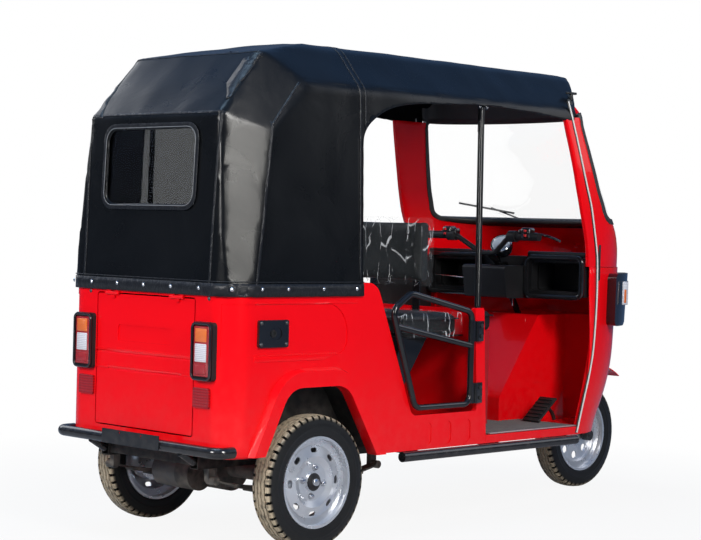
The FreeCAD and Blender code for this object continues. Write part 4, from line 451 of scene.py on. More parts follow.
def turned(profile, centre, facing, steps=24):
    # Closed outline of (radius, height) pairs spun about the facing direction.
    shape = spun([(radius, 0, height) for radius, height in profile], (0, 0, 1), steps)
    turn = Vector((0, 0, 1)).rotation_difference(Vector(facing).normalized()).to_matrix()
    bmesh.ops.transform(shape, matrix=Matrix.Translation(centre) @ turn.to_4x4(), verts=shape.verts)
    return shape


def gather(shapes):
    # Several small shapes as one mesh.
    whole = bmesh.new()
    for shape in shapes:
        part = bpy.data.meshes.new("part")
        shape.to_mesh(part)
        shape.free()
        whole.from_mesh(part)
        bpy.data.meshes.remove(part)
    return whole


bright_metal = finish(
    "bright_metal", (0.62, 0.62, 0.63), (0.48, 0.48, 0.49), (0.14, 0.26), patch=30, grain=(900, 0.05),
    metal=1.0)
dark_screw = finish(
    "dark_screw", (0.03, 0.03, 0.032), (0.08, 0.08, 0.08), (0.3, 0.5), patch=40, grain=(900, 0.1), dust=0.2,
    metal=0.6)
cap_outline = (
    (0.0001, 0.0045), (0.0035, 0.0040), (0.0060, 0.0022), (0.0072, 0.0008), (0.0072, -0.001),
    (0.0001, -0.001))
stud_z = 0.929
caps = []
for x in (-0.300, -0.150, 0.0, 0.150, 0.300):
    caps.append(turned(cap_outline, (x, 1.3735, stud_z), (0, 1, 0)))
for side in (-1, 1):
    caps.append(turned(cap_outline, (side * 0.4408, 1.3450, stud_z), (side * 0.72, 0.69, 0)))
    for y in (1.225, 1.10, 0.925, 0.755):
        caps.append(turned(cap_outline, (side * 0.4650, y, 0.930), (side, 0, 0)))
add_piece("hem_studs", gather(caps), bright_metal)
screws = [turned(cap_outline, (x, 1.3635, 0.894), (0, 1, 0)) for x in (-0.345, 0.315)]
add_piece("body_screws", gather(screws), dark_screw)


# Border of the rear window: a pale stitched edge round the clear sheet, whose pale grey is a painted
# highlight along the border's edge, with a black lap outside it.
# The clear sheet is sewn in from behind, so the border stands a little proud of it.
def round_sheet(half_w, low_z, top_z, corner):
    shape = bmesh.new()
    bmesh.ops.create_grid(shape, x_segments=1, y_segments=1, size=0.5)
    bmesh.ops.scale(shape, vec=(half_w * 2, top_z - low_z, 1), verts=shape.verts)
    if corner:
        rounded(shape, shape.verts[:], corner, 8, "VERTICES")
    bmesh.ops.translate(shape, vec=(0, (low_z + top_z) / 2, 0), verts=shape.verts)
    return shape


def round_frame(width, height, corner, band, deep, bevel):
    # Flat rounded ring in the XZ plane, facing +Y.
    shape = round_sheet(width / 2, -height / 2, height / 2, corner)
    face = next(iter(shape.faces))
    bmesh.ops.inset_region(shape, faces=[face], thickness=band, use_even_offset=True, use_boundary=True)
    bmesh.ops.delete(shape, geom=[face], context="FACES")
    bmesh.ops.solidify(shape, geom=shape.faces[:], thickness=deep)
    bmesh.ops.recalc_face_normals(shape, faces=shape.faces)
    rounded(shape, [edge for edge in shape.edges if edge.calc_face_angle(0) > 1.2], bevel, 2)
    return put_at(shape, (0, 0, 0), math.radians(90))


# Pale grey of the stitched ring: a painted highlight on the edge of the black border.
painted_highlight_thread = finish(
    "painted_highlight_thread", (0.13, 0.135, 0.14), (0.09, 0.095, 0.10), (0.6, 0.8), patch=60, grain=(1500, 0.4))
glass_low, glass_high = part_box("rear_window")
window_mid = (glass_low + glass_high) / 2
lean = math.atan2(0.0265, 0.632)
for name, outline, proud, material in (
    ("window_stitching_highlight", (0.500, 0.282, 0.050, 0.0028, 0.002, 0.0006), 0.0125, painted_highlight_thread),
    ("window_lap", (0.528, 0.310, 0.060, 0.016, 0.002, 0.0008), 0.0105, seam_vinyl),
):
    border = put_at(round_frame(*outline), (0, window_mid.y + proud, window_mid.z), lean)
    add_piece(name, border, material)


# Tyres: black radial tyres with a ribbed tread, zigzag grooves and cut shoulder blocks.
# The tread face has picked up pale road dust, while the sidewalls stay black.
def tyre_shape(centre):
    half = (
        (0.0, 0.2410), (0.0062, 0.2409), (0.0068, 0.2352), (0.0102, 0.2350), (0.0110, 0.2404),
        (0.0225, 0.2396), (0.0232, 0.2345), (0.0268, 0.2340), (0.0276, 0.2388), (0.0350, 0.2374),
        (0.0405, 0.2345), (0.0432, 0.2300), (0.0448, 0.2230), (0.0466, 0.2140), (0.0470, 0.2125),
        (0.0476, 0.2050), (0.0478, 0.2000), (0.0484, 0.1985), (0.0484, 0.1960), (0.0476, 0.1945),
        (0.0474, 0.1850), (0.0466, 0.1770), (0.0455, 0.1715), (0.0442, 0.1680), (0.0405, 0.1655))
    whole = [(-x, 0, radius) for x, radius in reversed(half[1:])] + [(x, 0, radius) for x, radius in half]
    steps = 144
    zigzag = 0.0022
    slot_deep = 0.0045
    shape = spun(whole, (1, 0, 0), steps)
    wear = shape.verts.layers.float.new("tread")
    for vert in shape.verts:
        radius = math.hypot(vert.co.y, vert.co.z)
        place = round(math.atan2(vert.co.z, vert.co.y) / math.tau * steps)
        vert[wear] = min(1.0, max(0.0, (radius - 0.2280) / 0.006))
        if radius > 0.2338 and 0.005 < abs(vert.co.x) < 0.030:
            vert.co.x += zigzag * (0, 1, 0, -1)[place % 4]
    slots = []
    for face in shape.faces:
        middle = face.calc_center_median()
        radius = math.hypot(middle.y, middle.z)
        place = round(math.atan2(middle.z, middle.y) / math.tau * steps * 2)
        if 0.0285 < abs(middle.x) < 0.0440 and radius > 0.2255 and place % 6 == 1:
            slots.append(face)
    sunk = bmesh.ops.extrude_discrete_faces(shape, faces=slots)["faces"]
    for face in sunk:
        middle = face.calc_center_median()
        inward = Vector((0, -middle.y, -middle.z)).normalized()
        for vert in face.verts:
            vert.co += inward * slot_deep
            vert[wear] = 0.0
    bmesh.ops.translate(shape, vec=centre, verts=shape.verts)
    return shape


def tyre_rubber():
    material = finish(
        "tyre_rubber", (0.0045, 0.0045, 0.0045), (0.009, 0.0085, 0.008), (0.34, 0.48), patch=16,
        grain=(500, 0.10), dust=0.0, specular=0.3)
    tree = material.node_tree
    look = next(node for node in tree.nodes if node.type == "GROUP")
    worn_tread = add_node(tree, "Attribute", attribute_name="tread")
    place = add_node(tree, "TexCoord")
    specks = add_node(tree, "TexNoise", {"Scale": 70, "Detail": 8})
    spread = add_node(tree, "MapRange", {"From Min": 0.30, "From Max": 0.52, "To Min": 0.35, "To Max": 1.0})
    strength = add_node(tree, "Math", operation="MULTIPLY")
    dusty = add_node(tree, "Mix", {"B": (0.38, 0.31, 0.21, 1)}, data_type="RGBA")
    wire(
        tree, (place, "Object", specks, "Vector"), (specks, "Fac", spread, "Value"),
        (spread, "Result", strength, 0), (worn_tread, "Fac", strength, 1),
        (strength, "Value", dusty, "Factor"), (look, "Colour", dusty, "A"),
        (dusty, "Result", tree.nodes["Principled BSDF"], "Base Color"))
    return material


rubber = tyre_rubber()
for name, body in (
    ("front_tyre", "front_wheel"), ("rear_left_tyre", "rear_wheel_left"),
    ("rear_right_tyre", "rear_wheel_right"),
):
    low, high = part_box(name)
    made = add_piece(name + "_dressed", tyre_shape((low + high) / 2), rubber, body, crease=35)
    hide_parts(name)


# Wheels: pressed steel discs in silver paint, with a black hub cap, a bright nut and four wheel nuts.
# The nuts sit on conical seats round the hub.
silver_paint = finish(
    "silver_paint", (0.66, 0.67, 0.69), (0.56, 0.57, 0.59), (0.22, 0.32), patch=9, grain=(800, 0.04),
    dust=0.08, metal=0.8)
dress(silver_paint, "front_rim", "rear_left_rim", "rear_right_rim")
hub_out = 0.028
seat_sink = 0.007
nut_circle = 0.051
nut_outline = (
    (0.0001, 0.016), (0.0050, 0.0155), (0.0080, 0.012), (0.0088, 0.006), (0.0115, 0.003), (0.0125, -0.002),
    (0.0001, -0.002))
cap_ring = (
    (0.0001, 0.007), (0.018, 0.0065), (0.026, 0.005), (0.0315, 0.0025), (0.033, -0.001), (0.0001, -0.001))
centre_nut = (
    (0.0001, 0.022), (0.0085, 0.0215), (0.0125, 0.017), (0.0140, 0.012), (0.0150, 0.004), (0.0001, 0.004))
for name, body, side in (("rear_right_rim", "rear_wheel_right", -1), ("rear_left_rim", "rear_wheel_left", 1)):
    low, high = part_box(name)
    hub = Vector((side * (0.437 + hub_out), (low.y + high.y) / 2, (low.z + high.z) / 2))
    facing = (side, 0, 0)
    add_piece(name + "_hub_cap", turned(cap_ring, hub, facing, 40), black_moulding, body)
    nuts = [turned(centre_nut, hub, facing, 28)]
    for index in range(4):
        angle = math.tau * (index + 0.1) / 4
        around = Vector((0, nut_circle * math.cos(angle), nut_circle * math.sin(angle)))
        nuts.append(turned(nut_outline, hub + Vector((-side * seat_sink, 0, 0)) + around, facing, 18))
    add_piece(name + "_nuts", gather(nuts), bright_metal, body)


# Seats: vinyl covers over foam, on the driver's seat, the passenger seat behind it and the rear bench.
# Each pad is drawn tight and crowned by its filling, and lies flat on what carries it.
def stuffed(name, node, voxel, cap, flat_axis=2, flat_side=-1, channels=()):
    shape = lift(merged_copy(node), -0.006)
    start_mesh = bpy.data.meshes.new(name)
    shape.to_mesh(start_mesh)
    shape.free()
    pad = bpy.data.objects.new(name, start_mesh)
    scene.collection.objects.link(pad)
    even = pad.modifiers.new("even_mesh", "REMESH")
    even.mode = "VOXEL"
    even.voxel_size = voxel
    graph = bpy.context.evaluated_depsgraph_get()
    even_mesh = bpy.data.meshes.new_from_object(pad.evaluated_get(graph))
    pad.modifiers.clear()
    pad.data = even_mesh
    first = [vert.co.copy() for vert in even_mesh.vertices]
    low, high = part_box(node)
    cloth = pad.modifiers.new("stuffing", "CLOTH")
    cloth.settings.use_pressure = True
    cloth.settings.uniform_pressure_force = 4
    cloth.settings.effector_weights.gravity = 0
    cloth.settings.quality = 4
    cloth.point_cache.frame_start = 1
    cloth.point_cache.frame_end = 20
    for step in range(1, 21):
        scene.frame_set(step)
    graph = bpy.context.evaluated_depsgraph_get()
    blown = pad.evaluated_get(graph).to_mesh()
    puffed = [vert.co.copy() for vert in blown.vertices]
    pad.evaluated_get(graph).to_mesh_clear()
    pad.modifiers.clear()
    scene.frame_set(1)
    for vert, at, blown_at in zip(even_mesh.vertices, first, puffed):
        move = blown_at - at
        if move.length > cap:
            move = move.normalized() * cap
        placed = at + move
        floor_line = low[flat_axis] if flat_side < 0 else high[flat_axis]
        if (placed[flat_axis] - floor_line) * flat_side > -0.002:
            placed[flat_axis] = floor_line - flat_side * 0.0015
        for axis, line in channels:
            off = abs(placed[axis] - line)
            if off < channel_reach and (placed[flat_axis] - floor_line) * -flat_side > 0.03:
                placed[flat_axis] += flat_side * channel_deep * math.exp(-(off / channel_soft) ** 2)
        vert.co = placed
    tidy = bmesh.new()
    tidy.from_mesh(even_mesh)
    smoothed(tidy, tidy.verts, 0.4)
    tidy.to_mesh(even_mesh)
    tidy.free()
    even_mesh.materials.clear()
    even_mesh.materials.append(seat_vinyl)
    even_mesh.shade_smooth()
    finer = pad.modifiers.new("finer", "SUBSURF")
    finer.levels = 1
    finer.render_levels = 1
    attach(pad, "body")
    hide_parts(node)


channel_reach = 0.022
channel_soft = 0.007
channel_deep = 0.0075
seat_vinyl = vinyl(
    "seat_vinyl", (0.004, 0.0055, 0.006), (0.007, 0.009, 0.010), (0.38, 0.52), (520, 0.3), (14.0, 0.12))
bench_channels = ((0, -0.21), (0, 0.0), (0, 0.21))
stuffed("driver_seat_pad", "driver_cushion", 0.009, 0.010)
stuffed("rear_facing_pad", "jump_seat_cushion", 0.011, 0.010)
stuffed("rear_facing_backrest", "jump_seat_backrest", 0.008, 0.008, flat_axis=1)
stuffed("rear_bench_pad", "rear_bench_cushion", 0.011, 0.014, channels=bench_channels)
stuffed("rear_bench_back_pad", "rear_bench_backrest", 0.011, 0.014, 1, 1, bench_channels)


# Piping of the pads: a thin vinyl cord sewn into the upper edge of each cushion.
# It follows the cover's corner all the way round.
def tube_run(name, points, radius, material, body="body", closed=False):
    # Round cord: a smooth curve through its ends, or a closed loop.
    data = bpy.data.curves.new(name, "CURVE")
    data.dimensions = "3D"
    data.bevel_depth = radius
    data.bevel_resolution = 3
    data.resolution_u = 10
    data.use_fill_caps = True
    line = data.splines.new("POLY" if closed else "NURBS")
    line.points.add(len(points) - 1)
    for knot, at in zip(line.points, points):
        knot.co = (*at, 1)
    if closed:
        line.use_cyclic_u = True
        line.use_smooth = True
    else:
        line.order_u = 3
        line.use_endpoint_u = True
    data.materials.append(material)
    made = bpy.data.objects.new(name, data)
    scene.collection.objects.link(made)
    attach(made, body)
    return made


def round_loop(low, high, corner, z):
    points = []
    for cx, cy, start in (
        (high.x - corner, high.y - corner, 0), (low.x + corner, high.y - corner, 90),
        (low.x + corner, low.y + corner, 180), (high.x - corner, low.y + corner, 270),
    ):
        for index in range(7):
            angle = math.radians(start + 15 * index)
            points.append((cx + corner * math.cos(angle), cy + corner * math.sin(angle), z))
    return points


for name, node, drop in (
    ("driver_pad_piping", "driver_cushion", 0.018), ("passenger_pad_piping", "jump_seat_cushion", 0.018),
    ("bench_pad_piping", "rear_bench_cushion", 0.020),
):
    low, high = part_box(node)
    edge = Vector((0.001, 0.001, 0))
    loop = round_loop(low + edge, high - edge, 0.02, high.z - drop)
    tube_run(name, loop, 0.0028, seam_vinyl, closed=True)


# Delivery wrap: thin clear film still on the cushion and the backrest of the rear-facing seat.
# It lies loose in sharp creases, and pale, less clear lines in its texture along the creases are a painted
# highlight.
def film_with_painted_glints():
    material = clear_finish("clear_film_painted_glints", (0.92, 0.94, 0.96), 0.08, 0.05, (48.0, 1.0), transmission=0.0)
    tree = material.node_tree
    place = add_node(tree, "TexCoord")
    pull = add_node(tree, "Mapping", {"Scale": (2.0, 2.0, 0.36), "Rotation": (0.5, 0.45, 0.3)})
    # Crease lines in the texture: the film is whiter and less clear along them, a painted highlight.
    crease = add_node(tree, "TexVoronoi", {"Scale": 9}, feature="DISTANCE_TO_EDGE")
    thin = add_node(tree, "MapRange", {"From Min": 0.0, "From Max": 0.024, "To Min": 1.0, "To Max": 0.0})
    broken = add_node(tree, "TexNoise", {"Scale": 16, "Detail": 3})
    breaks = add_node(tree, "MapRange", {"From Min": 0.46, "From Max": 0.54})
    line = add_node(tree, "Math", operation="MULTIPLY")
    cover = add_node(tree, "Math", {1: 0.65, 2: 0.014}, operation="MULTIPLY_ADD")
    wire(
        tree, (place, "Object", pull, "Vector"), (pull, "Vector", crease, "Vector"),
        (place, "Object", broken, "Vector"), (crease, "Distance", thin, "Value"),
        (broken, "Fac", breaks, "Value"), (thin, "Result", line, 0), (breaks, "Result", line, 1),
        (line, "Value", cover, 0), (cover, "Value", tree.nodes["Principled BSDF"], "Alpha"))
    return material


film = film_with_painted_glints()


def wrapped(name, node, offset, crinkle):
    shape = merged_copy(node)
    low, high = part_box(node)
    slice_evenly(shape, [(low[axis] - 0.001, high[axis] + 0.001, 0.012) for axis in range(3)])
    shape.normal_update()
    for vert in shape.verts:
        at = vert.co
        crease = abs(noise.noise(Vector((at.x * 26, at.y * 26, at.z * 20)) + Vector((5, 9, 2))))
        sharp = abs(noise.noise(at * 61))
        vert.co = at + vert.normal * (offset + crinkle * (1 - 2.6 * crease) + 0.4 * crinkle * (1 - 3 * sharp))
    add_piece(name, shape, film, crease=25)


wrapped("passenger_seat_wrap", "jump_seat_cushion", 0.0065, 0.0022)
wrapped("backrest_wrap", "jump_seat_backrest", 0.0080, 0.0030)


# Pressed lines of the body: raised bands that stiffen the sheet along the flanks and the tailgate.
# Each band is rolled into the same red sheet and stands 2 to 3 mm proud with softened edges.
def soften(piece, width, steps, limit):
    edge = piece.modifiers.new("softened", "BEVEL")
    edge.width = width
    edge.segments = steps
    edge.limit_method = "ANGLE"
    edge.angle_limit = math.radians(limit)


def pressed_band(name, node, low_z, top_z, height, keep, body="body"):
    shape = merged_copy(node)
    band = cut_band(shape, ((top_z * up, up), (low_z * up, down)), keep)
    shape.free()
    outside = [face for face in band.faces if abs(face.normal.z) > 0.6]
    bmesh.ops.delete(band, geom=outside, context="FACES")
    made = add_piece(name, lift(band, height), red_paint, body, crease=50)
    thicken(made, height + 0.002)
    soften(made, height * 0.8, 3, 50)


def flank(side, first, last):
    return lambda c: c.x * side > 0.446 and first < c.y < last


for side, word in sides:
    panel = "side_panel_" + word
    pressed_band("flank_band_" + word, panel, 0.677, 0.700, 0.0030, flank(side, 1.0, 1.36))
    pressed_band("shoulder_band_" + word, panel, 0.878, 0.886, 0.0022, flank(side, 0.72, 1.36))
for low_z, top_z, word in ((0.676, 0.690, "upper"), (0.617, 0.627, "lower")):
    pressed_band(
        "tailgate_band_" + word, "tailgate", low_z, top_z, 0.0026,
        lambda c: c.y > 1.36 and abs(c.x) < 0.262, "tailgate")


# Tail lamps: a black surround and a red body lens, with an amber, a clear and a red lens standing on it.
# The lenses are moulded with fine ribs, like the reflectors below.
def lens_finish(name, colour, deep, ribs):
    material, tree, shader = new_material(name, {"Roughness": 0.14, "Coat Weight": 0.5})
    place = add_node(tree, "TexCoord")
    wave = add_node(tree, "TexWave", {"Scale": ribs}, bands_direction="X")
    cross = add_node(tree, "TexWave", {"Scale": ribs * 0.8}, bands_direction="Z")
    both = add_node(tree, "Math", operation="MULTIPLY")
    bump = add_node(tree, "Bump", {"Strength": 0.6, "Distance": 0.0015})
    tone = add_node(tree, "Mix", {"A": (*deep, 1), "B": (*colour, 1)}, data_type="RGBA")
    wire(
        tree, (place, "Object", wave, "Vector"), (place, "Object", cross, "Vector"), (wave, "Fac", both, 0),
        (cross, "Fac", both, 1), (both, "Value", bump, "Height"), (both, "Value", tone, "Factor"),
        (tone, "Result", shader, "Base Color"), (bump, "Normal", shader, "Normal"))
    return material


black_gloss = finish(
    "black_gloss", (0.006, 0.006, 0.007), (0.010, 0.010, 0.011), (0.10, 0.18), patch=10, grain=(900, 0.03),
    dust=0.08, coat=0.5)
red_lens = lens_finish("red_lens", (0.50, 0.010, 0.012), (0.22, 0.004, 0.006), 90)
amber_lens = lens_finish("amber_lens", (0.85, 0.20, 0.02), (0.50, 0.09, 0.008), 90)
clear_lens = lens_finish("clear_lens", (0.86, 0.85, 0.85), (0.42, 0.41, 0.43), 60)
reflector_red = lens_finish("reflector_red", (0.42, 0.004, 0.006), (0.20, 0.002, 0.003), 40)
dress(reflector_red, "reflectors")
dress(black_gloss, "charging_port", "headlamps")
lens_y = 1.3838
lens_wide = 0.060
for side, word in sides:
    mid = side * 0.333
    ring = put_at(round_frame(0.104, 0.202, 0.022, 0.009, 0.009, 0.003), (mid, 1.3800, 0.711))
    add_piece("tail_lamp_bezel_" + word, ring, black_gloss)
    lamp_body = soft_block((0.080, 0.012, 0.176), (mid, 1.3800, 0.711), 0.005)
    add_piece("tail_lamp_body_" + word, lamp_body, red_lens)
    for part, tall, z, material in (
        ("amber", 0.048, 0.767, amber_lens), ("clear", 0.064, 0.706, clear_lens),
        ("stop", 0.036, 0.650, red_lens),
    ):
        lens = soft_block((lens_wide, 0.010, tall), (mid, lens_y, z), 0.004)
        add_piece("tail_lamp_" + part + "_" + word, lens, material)


# Windscreen frame, glass and rubber: one wide curved screen that wraps to the sides of the cab.
# The frame is a pressed sheet, laid out flat here and bent round the nose, with its door edge folded back.
frame_z = (1.016, 1.10, 1.17, 1.24, 1.34, 1.463, 1.62, 1.70, 1.78)
frame_half = (0.4558, 0.460, 0.465, 0.467, 0.463, 0.455, 0.440, 0.428, 0.412)
frame_side_y = (-0.699, -0.712, -0.728, -0.722, -0.678, -0.633, -0.580, -0.553, -0.526)
frame_nose_y = (-1.146, -1.125, -1.060, -0.955, -0.889, -0.823, -0.731, -0.690, -0.650)
frame_door_y = (-0.644, -0.631, -0.606, -0.580, -0.553, -0.523, -0.483, -0.463, -0.443)
flat_half = 0.33
flange = 0.03
far_drop = 0.070
far_flange = 0.105


def between(values, z):
    # Smooth value of one of the frame's outlines at a height.
    last = len(frame_z) - 1
    spot = max(0, min(last - 1, sum(1 for level in frame_z[1:] if z > level)))
    share = (z - frame_z[spot]) / (frame_z[spot + 1] - frame_z[spot])
    before, start, end, after = (values[max(0, min(last, spot + step))] for step in (-1, 0, 1, 2))
    one = end - before
    two = after - start
    bend = 3 * (end - start) - one - two / 2
    twist = (one + two) / 2 - 2 * (end - start)
    return start + share * (one / 2 + share * (bend + share * twist))


def on_frame(flat, z, inset=0.0):
    # Place on the nose for a point of the flat pattern, moved inwards by the inset.
    side_y = between(frame_side_y, z)
    if flat > 0:
        side_y += far_drop * max(0.0, min(1.0, (1.60 - z) / 0.38)) * max(0.0, min(1.0, (z - 1.03) / 0.12))
    half = between(frame_half, z) - inset
    reach = side_y - between(frame_nose_y, z) - inset
    if abs(flat) > flat_half:
        back = (abs(flat) - flat_half) / flange
        door_y = between(frame_door_y, z) + (far_flange if flat > 0 else 0.0)
        return Vector((math.copysign(half, flat), side_y + back * (door_y - side_y), z))
    turn = flat / flat_half * math.pi / 2
    return Vector((half * math.sin(turn), side_y - reach * math.cos(turn), z))


def ring_sheet(outer, inner):
    # Flat sheet between two outlines.
    whole = gather([outer, inner])
    bmesh.ops.delete(whole, geom=whole.faces[:], context="FACES_ONLY")
    bmesh.ops.bridge_loops(whole, edges=whole.edges[:])
    return whole


def bent(shape, inset):
    # Flat pattern cut into small faces and laid round the nose, facing outwards.
    slice_evenly(shape, ((-0.36, 0.36, 0.0099), (1.0, 1.8, 0.0231)))
    bmesh.ops.triangulate(shape, faces=[face for face in shape.faces if len(face.verts) > 4])
    bmesh.ops.remove_doubles(shape, verts=shape.verts, dist=1e-5)
    for vert in shape.verts:
        vert.co = on_frame(vert.co.x, vert.co.y, inset)
    bmesh.ops.recalc_face_normals(shape, faces=shape.faces)
    core = Vector((0, -0.5, 1.4))
    if sum(face.normal.dot(face.calc_center_median() - core) for face in shape.faces) < 0:
        bmesh.ops.reverse_faces(shape, faces=shape.faces)
    return shape


def roof_cut(shape, z):
    # The upper corners follow the slant of the roof.
    for side in (-1, 1):
        cut_plane(shape, (side * 0.40, 0, z), (side * 0.62, 0, 0.78))
    return shape


screen_low, screen_top = 1.206, 1.652
flat_frame = ring_sheet(
    round_sheet(flat_half + flange, 1.016, 1.745, 0),
    round_sheet(flat_half - 0.004, screen_low, screen_top, 0.045))
surround = add_piece("windscreen_surround", roof_cut(bent(flat_frame, 0), 1.665), red_paint, crease=35)
thicken(surround, 0.016)
soften(surround, 0.0025, 2, 60)
flat_seal = ring_sheet(
    round_sheet(flat_half + 0.001, screen_low - 0.008, screen_top + 0.008, 0.050),
    round_sheet(flat_half - 0.016, screen_low + 0.014, screen_top - 0.014, 0.036))
seal = add_piece("screen_rubber", bent(flat_seal, -0.004), seal_rubber)
thicken(seal, 0.024)
flat_pane = round_sheet(flat_half - 0.010, screen_low + 0.006, screen_top - 0.006, 0.040)
pane = add_piece("screen_pane", bent(flat_pane, 0.005), screen_glass)
thicken(pane, 0.005)
for made, node, slot in (
    (surround, "windscreen_frame", "red_paint"), (seal, "windscreen_seal", "seal_rubber"),
    (pane, "windscreen_glass", "screen_glass"),
):
    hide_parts(node)
lining = roof_cut(bent(round_sheet(flat_half + 0.004, 1.640, 1.797, 0), 0.020), 1.716)
thicken(add_piece("header_lining", lining, seal_rubber), 0.006)
add_piece("door_cheek", soft_block((0.008, 0.380, 0.257), (0.447, -0.480, 0.926), 0.003), black_moulding)


# Trim on the door edge of the cab: a pale plastic bead from the roof to the sill, and a fold of the
# sheet behind it. A short black rubber strip and the header's black clip sit beside it.
bead_y = (
    (0.324, -0.593), (0.453, -0.633), (0.555, -0.667), (0.657, -0.691), (0.760, -0.700), (0.884, -0.706),
    (1.029, -0.703), (1.091, -0.690), (1.194, -0.656), (1.275, -0.635), (1.356, -0.605), (1.586, -0.540),
    (1.700, -0.507))
bead_white = finish(
    "bead_white", (0.62, 0.60, 0.56), (0.48, 0.46, 0.42), (0.3, 0.42), patch=20, grain=(700, 0.04), dust=0.3)
trim_black = finish(
    "trim_black", (0.006, 0.006, 0.006), (0.012, 0.012, 0.012), (0.4, 0.55), patch=20, grain=(900, 0.1),
    specular=0.3)


def side_x(z):
    return between(frame_half, z) if z > 1.016 else 0.4560


for side, word in sides:
    for name, proud, back, radius, material in (
        ("door_bead_", 0.0015, 0.0, 0.0042, bead_white),
        ("door_bead_lip_", 0.0005, 0.007, 0.0030, trim_black),
    ):
        line = [(side * (side_x(z) + proud), y + back, z) for z, y in bead_y]
        tube_run(name + word, line, radius, material)
    strip = soft_block((0.006, 0.016, 0.150), (side * 0.4585, -0.712, 1.034), 0.002)
    add_piece("door_strip_" + word, strip, trim_black)
    fold = bmesh.new()
    bmesh.ops.create_grid(fold, x_segments=1, y_segments=24, size=0.5)
    for vert in fold.verts:
        z = 0.335 + (vert.co.y + 0.5) * 0.680
        knot = max(0, min(len(bead_y) - 2, sum(1 for level, _ in bead_y[1:] if z > level)))
        (z0, y0), (z1, y1) = bead_y[knot], bead_y[knot + 1]
        bead = y0 + (y1 - y0) * (z - z0) / (z1 - z0)
        wide = 0.056 * max(0.12, min(1.0, (z - 0.45) / 0.45))
        vert.co = Vector((side * 0.4552, bead - 0.004 + (wide if vert.co.x > 0 else 0), z))
    bmesh.ops.recalc_face_normals(fold, faces=fold.faces)
    thicken(add_piece("door_fold_" + word, fold, red_paint), 0.005, 0)
    clip = gather([
        soft_block((0.016, 0.060, 0.010), (side * 0.398, -0.566, 1.738), 0.003),
        soft_block((0.012, 0.012, 0.030), (side * 0.404, -0.560, 1.722), 0.003)])
    add_piece("header_clip_" + word, clip, trim_black)


# Wiper: a black arm on a spindle under the glass, with a rubber blade on a sprung carrier.
# It is parked low across the screen, tilted down towards the middle.
blade_end, blade_start = Vector((0.417, -0.812, 1.281)), Vector((0.198, -0.945, 1.240))
arm_tip, arm_root = Vector((0.300, -0.902, 1.263)), Vector((0.148, -1.028, 1.190))
blade_mid = blade_end.lerp(blade_start, 0.5) + Vector((0.004, -0.010, 0))
arm_mid = arm_tip.lerp(arm_root, 0.5) + Vector((0, -0.006, 0))
tube_run("wiper_blade", [blade_end, blade_mid, blade_start], 0.0045, trim_black)
tube_run("wiper_arm", [arm_tip, arm_mid, arm_root], 0.0036, trim_black)
spindle_outline = ((0.0001, 0.016), (0.009, 0.014), (0.012, 0.006), (0.014, -0.014), (0.0001, -0.014))
add_piece("wiper_spindle", turned(spindle_outline, arm_root, (0.1, -0.7, 0.7)), trim_black)


# Headlamps: glossy black housings on the corners of the nose, each with a clear ribbed lens in front,
# and a clear and an amber lamp on its side.
for side, word in sides:
    shell = merged_copy("headlamps")
    wrong = [face for face in shell.faces if face.calc_center_median().x * side < 0 or face.normal.y > -0.35]
    bmesh.ops.delete(shell, geom=wrong, context="FACES")
    for at, facing in (
        ((0, 0, 0.955), up), ((0, 0, 0.862), down), ((side * 0.340, 0, 0), (-side, 0, 0)),
        ((side * 0.468, 0, 0), (side, 0, 0)),
    ):
        cut_plane(shell, at, facing)
    thicken(add_piece("headlamp_lens_" + word, lift(shell, 0.0045), clear_lens, crease=30), 0.006)
    clear_block = soft_block((0.010, 0.036, 0.098), (side * 0.4885, -0.862, 0.905), 0.004)
    amber_block = soft_block((0.010, 0.018, 0.060), (side * 0.4900, -0.858, 0.893), 0.004)
    add_piece("headlamp_side_lens_" + word, clear_block, clear_lens)
    add_piece("headlamp_side_amber_" + word, amber_block, amber_lens)


# Handlebar fittings: moulded switch housings with small red buttons, brake levers, and the round
# instrument pod with its blank dial and bright ring. The key sits in the console below.
button_red = finish("button_red", (0.60, 0.02, 0.02), (0.45, 0.015, 0.015), (0.25, 0.35), patch=30, dust=0.05)
dial_face = finish(
    "dial_face", (0.34, 0.42, 0.52), (0.62, 0.67, 0.74), (0.10, 0.16), patch=38, dust=0.0, coat=0.6)
pod_at, pod_facing = Vector((-0.050, -0.560, 1.100)), Vector((-0.25, 0.72, 0.64)).normalized()
pod_outline = (
    (0.0001, -0.060), (0.020, -0.058), (0.036, -0.046), (0.046, -0.022), (0.049, 0.000), (0.049, 0.006),
    (0.046, 0.009), (0.0425, 0.009), (0.0415, 0.004), (0.0001, 0.004))
ring_outline = ((0.0415, 0.004), (0.0425, 0.0095), (0.0455, 0.0105), (0.0478, 0.008), (0.0478, 0.004))
dial_outline = ((0.0001, 0.0062), (0.036, 0.0060), (0.0405, 0.0050), (0.0410, 0.003), (0.0001, 0.003))
for name, outline, steps, material in (
    ("instrument_pod", pod_outline, 40, black_gloss), ("pod_ring", ring_outline, 40, bright_metal),
    ("pod_dial", dial_outline, 36, dial_face),
):
    add_piece(name, turned(outline, pod_at, pod_facing, steps), material, "steering")
bracket_line = [(0.0, -0.600, 1.035), (-0.012, -0.600, 1.060), pod_at - pod_facing * 0.045]
tube_run("pod_bracket", bracket_line, 0.010, black_moulding, "steering")
bar_z = 1.150
switch_blocks = []
buttons = []
for side, hub_x in ((-1, -0.248), (1, 0.190)):
    switch_blocks.append(soft_block((0.050, 0.046, 0.046), (hub_x, -0.492, bar_z), 0.010))
    switch_blocks.append(soft_block((0.026, 0.034, 0.030), (hub_x - side * 0.034, -0.496, bar_z), 0.008))
    for rise in (-0.010, 0.010):
        button_at = (hub_x + side * 0.004, -0.468, bar_z + rise)
        buttons.append(soft_block((0.012, 0.008, 0.010), button_at, 0.002))
add_piece("switch_housings", gather(switch_blocks), black_gloss, "steering")
add_piece("switch_buttons", gather(buttons), button_red, "steering")
